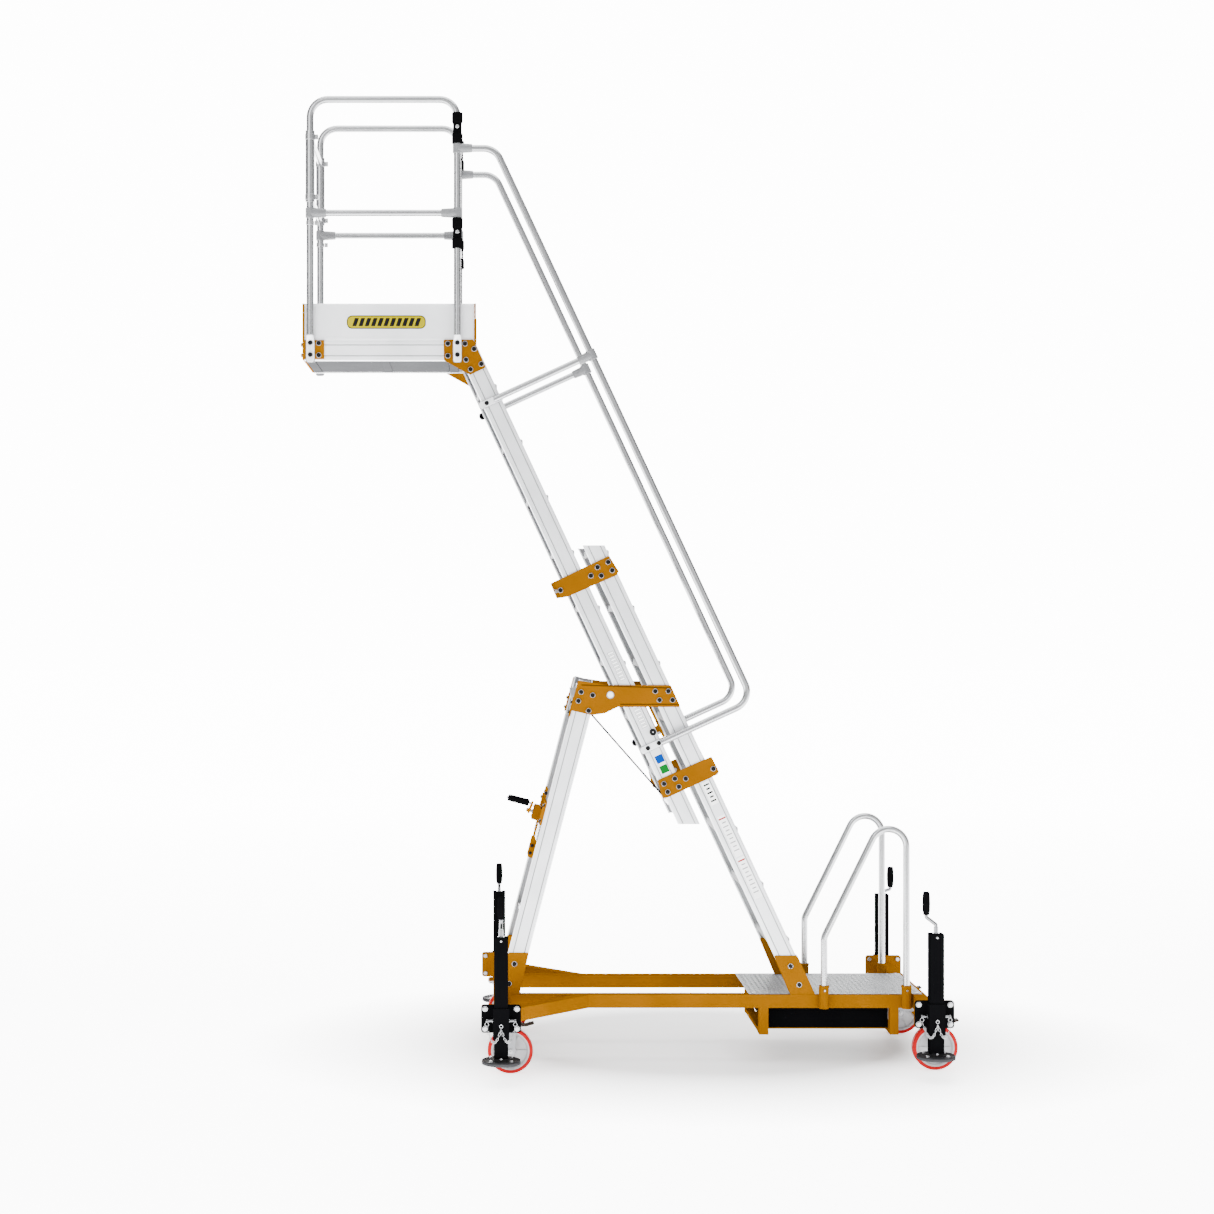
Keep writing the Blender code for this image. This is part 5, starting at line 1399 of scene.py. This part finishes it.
# Camera, floor and light
CAMERA_PLACE = (-0.626, -10.0, 2.053)
CAMERA_LENS, CAMERA_SENSOR, CAMERA_SHIFT = 64.02, 36.0, 0.098
SKY_AHEAD, SKY_ASIDE, SKY_BEHIND = 1.2, 0.20, 13.0
BACKDROP_EDGE = (0.86, 0.915)
# The floor's glow is painted light; the dim oval round the object is painted shade about it.
FLOOR_HALF, FLOOR_BASE = 60.0, 0.10
FLOOR_FAR = ((1.5, 12.0), 4.0)
SHADE_POOL_CENTRE = (0.4, 0.2)
SHADE_POOL_STRETCH = 1.3
SHADE_POOL = ((0.7, 1.7), 8.5)
SHADE_POOL_END = (-3.2, -5.0)
WHITE = (1.0, 1.0, 1.0, 1.0)

# Each lamp: name, place, size, power and target
LAMPS = (
    ("key", (-4.0, -6.0, 6.0), 4.0, 320.0, (0.0, 0.0, 1.8)),
    ("fill", (5.0, -7.0, 3.0), 5.0, 120.0, (0.0, 0.0, 1.8)),
    ("top", (0.0, 0.0, 9.0), 7.0, 900.0, (0.0, 0.0, 0.0)),
)


def maths(nodes, links, operation, first, second):
    """A sum or a product. The second value may be a plain number."""
    node = nodes.new("ShaderNodeMath")
    node.operation = operation
    links.new(first, node.inputs[0])
    if isinstance(second, float):
        node.inputs[1].default_value = second
    else:
        links.new(second, node.inputs[1])
    return node.outputs["Value"]


def vector_maths(nodes, links, operation, source, second=(0.0, 0.0, 0.0)):
    node = nodes.new("ShaderNodeVectorMath")
    node.operation = operation
    links.new(source, node.inputs[0])
    node.inputs[1].default_value = second
    return node


def add_object(name, data):
    item = bpy.data.objects.new(name, data)
    bpy.context.scene.collection.objects.link(item)
    return item


def build_camera():
    camera = add_object("camera", bpy.data.cameras.new("camera"))
    camera.location = CAMERA_PLACE
    camera.rotation_euler = (math.radians(90.0), 0.0, 0.0)
    camera.data.lens = CAMERA_LENS
    camera.data.sensor_width = CAMERA_SENSOR
    camera.data.shift_x = CAMERA_SHIFT
    camera.data.clip_end = 200.0
    bpy.context.scene.camera = camera


def build_world():
    """A dim sky, brighter ahead and behind the camera than at the sides, and a very bright backdrop."""
    world = bpy.data.worlds.new("studio")
    bpy.context.scene.world = world
    world.use_nodes = True
    nodes, links = world.node_tree.nodes, world.node_tree.links
    coords = nodes.new("ShaderNodeTexCoord")
    axes = nodes.new("ShaderNodeSeparateXYZ")
    links.new(coords.outputs["Generated"], axes.inputs["Vector"])
    squared = maths(nodes, links, "MULTIPLY", axes.outputs["X"], axes.outputs["X"])
    sides = ramp(nodes, links, squared, (0.0, 1.0), (SKY_AHEAD, SKY_ASIDE))
    behind = ramp(nodes, links, axes.outputs["Y"], BACKDROP_EDGE, (0.0, SKY_BEHIND))
    background = nodes["Background"]
    links.new(maths(nodes, links, "ADD", sides, behind), background.inputs["Strength"])
    background.inputs["Color"].default_value = WHITE


def floor_material():
    """A pale floor that glows, as painted light: a little everywhere, more in the far distance and outside an
    oval round the object, which stays dim as painted shade.
    """
    material = bpy.data.materials.new("pale_floor")
    material.use_nodes = True
    nodes, links = material.node_tree.nodes, material.node_tree.links
    shader = nodes["Principled BSDF"]
    shader.inputs["Base Color"].default_value = (0.96, 0.96, 0.96, 1.0)
    shader.inputs["Roughness"].default_value = 0.6
    shader.inputs["Specular IOR Level"].default_value = 0.2
    shader.inputs["Emission Color"].default_value = WHITE
    coords = nodes.new("ShaderNodeTexCoord").outputs["Object"]
    place = nodes.new("ShaderNodeSeparateXYZ")
    links.new(coords, place.inputs["Vector"])
    far = ramp(nodes, links, place.outputs["Y"], FLOOR_FAR[0], (0.0, FLOOR_FAR[1]))
    offset = vector_maths(nodes, links, "SUBTRACT", coords, (*SHADE_POOL_CENTRE, 0.0))
    squash = vector_maths(nodes, links, "MULTIPLY", offset.outputs["Vector"], (1.0 / SHADE_POOL_STRETCH, 1.0, 0.0))
    distance = vector_maths(nodes, links, "LENGTH", squash.outputs["Vector"])
    # Painted shade: no glow in the oval round the object, rising to full glow outside it.
    glow_round_shade = ramp(nodes, links, distance.outputs["Value"], SHADE_POOL[0], (0.0, SHADE_POOL[1]))
    fade = ramp(nodes, links, place.outputs["Y"], SHADE_POOL_END, (1.0, 0.0))
    glow = maths(nodes, links, "ADD", far, maths(nodes, links, "MULTIPLY", glow_round_shade, fade))
    links.new(maths(nodes, links, "ADD", glow, FLOOR_BASE), shader.inputs["Emission Strength"])
    return material


def build_stage():
    build_camera()
    build_world()
    mesh = bpy.data.meshes.new("floor")
    corners = [(FLOOR_HALF * u, FLOOR_HALF * v, 0.0) for u, v in ((-1, -1), (1, -1), (1, 1), (-1, 1))]
    mesh.from_pydata(corners, [], [(0, 1, 2, 3)])
    floor = add_object("floor", mesh)
    mesh.materials.append(floor_material())
    for name, place, size, power, target in LAMPS:
        lamp = add_object(name, bpy.data.lights.new(name, "AREA"))
        lamp.location = place
        lamp.rotation_euler = (Vector(target) - Vector(place)).to_track_quat("-Z", "Y").to_euler()
        lamp.data.size = size
        lamp.data.energy = power


build_stage()
dress_frame()
build_ladders()
build_legs()
for side_name, side_sign in SIDES.items():
    build_guardrail(side_name, side_sign)
    build_gate(side_name, side_sign)
    build_handrail(side_name, side_sign)
    build_low_handrail(side_name, side_sign)
build_front_guard()
checker("entry_deck", "deck_plate", "chassis")
checker("platform_deck", "platform_deck", "upper_section")
build_platform()
build_bolts()
build_head_plates()
build_foot_plates()
build_winch()
build_rope()
build_rollers()
build_latch()
for corner_name in CORNERS:
    build_jack(corner_name)
    build_caster(corner_name)
build_chassis()
for side_sign in BOTH:
    ladder_labels(side_sign)
    section_labels(side_sign)
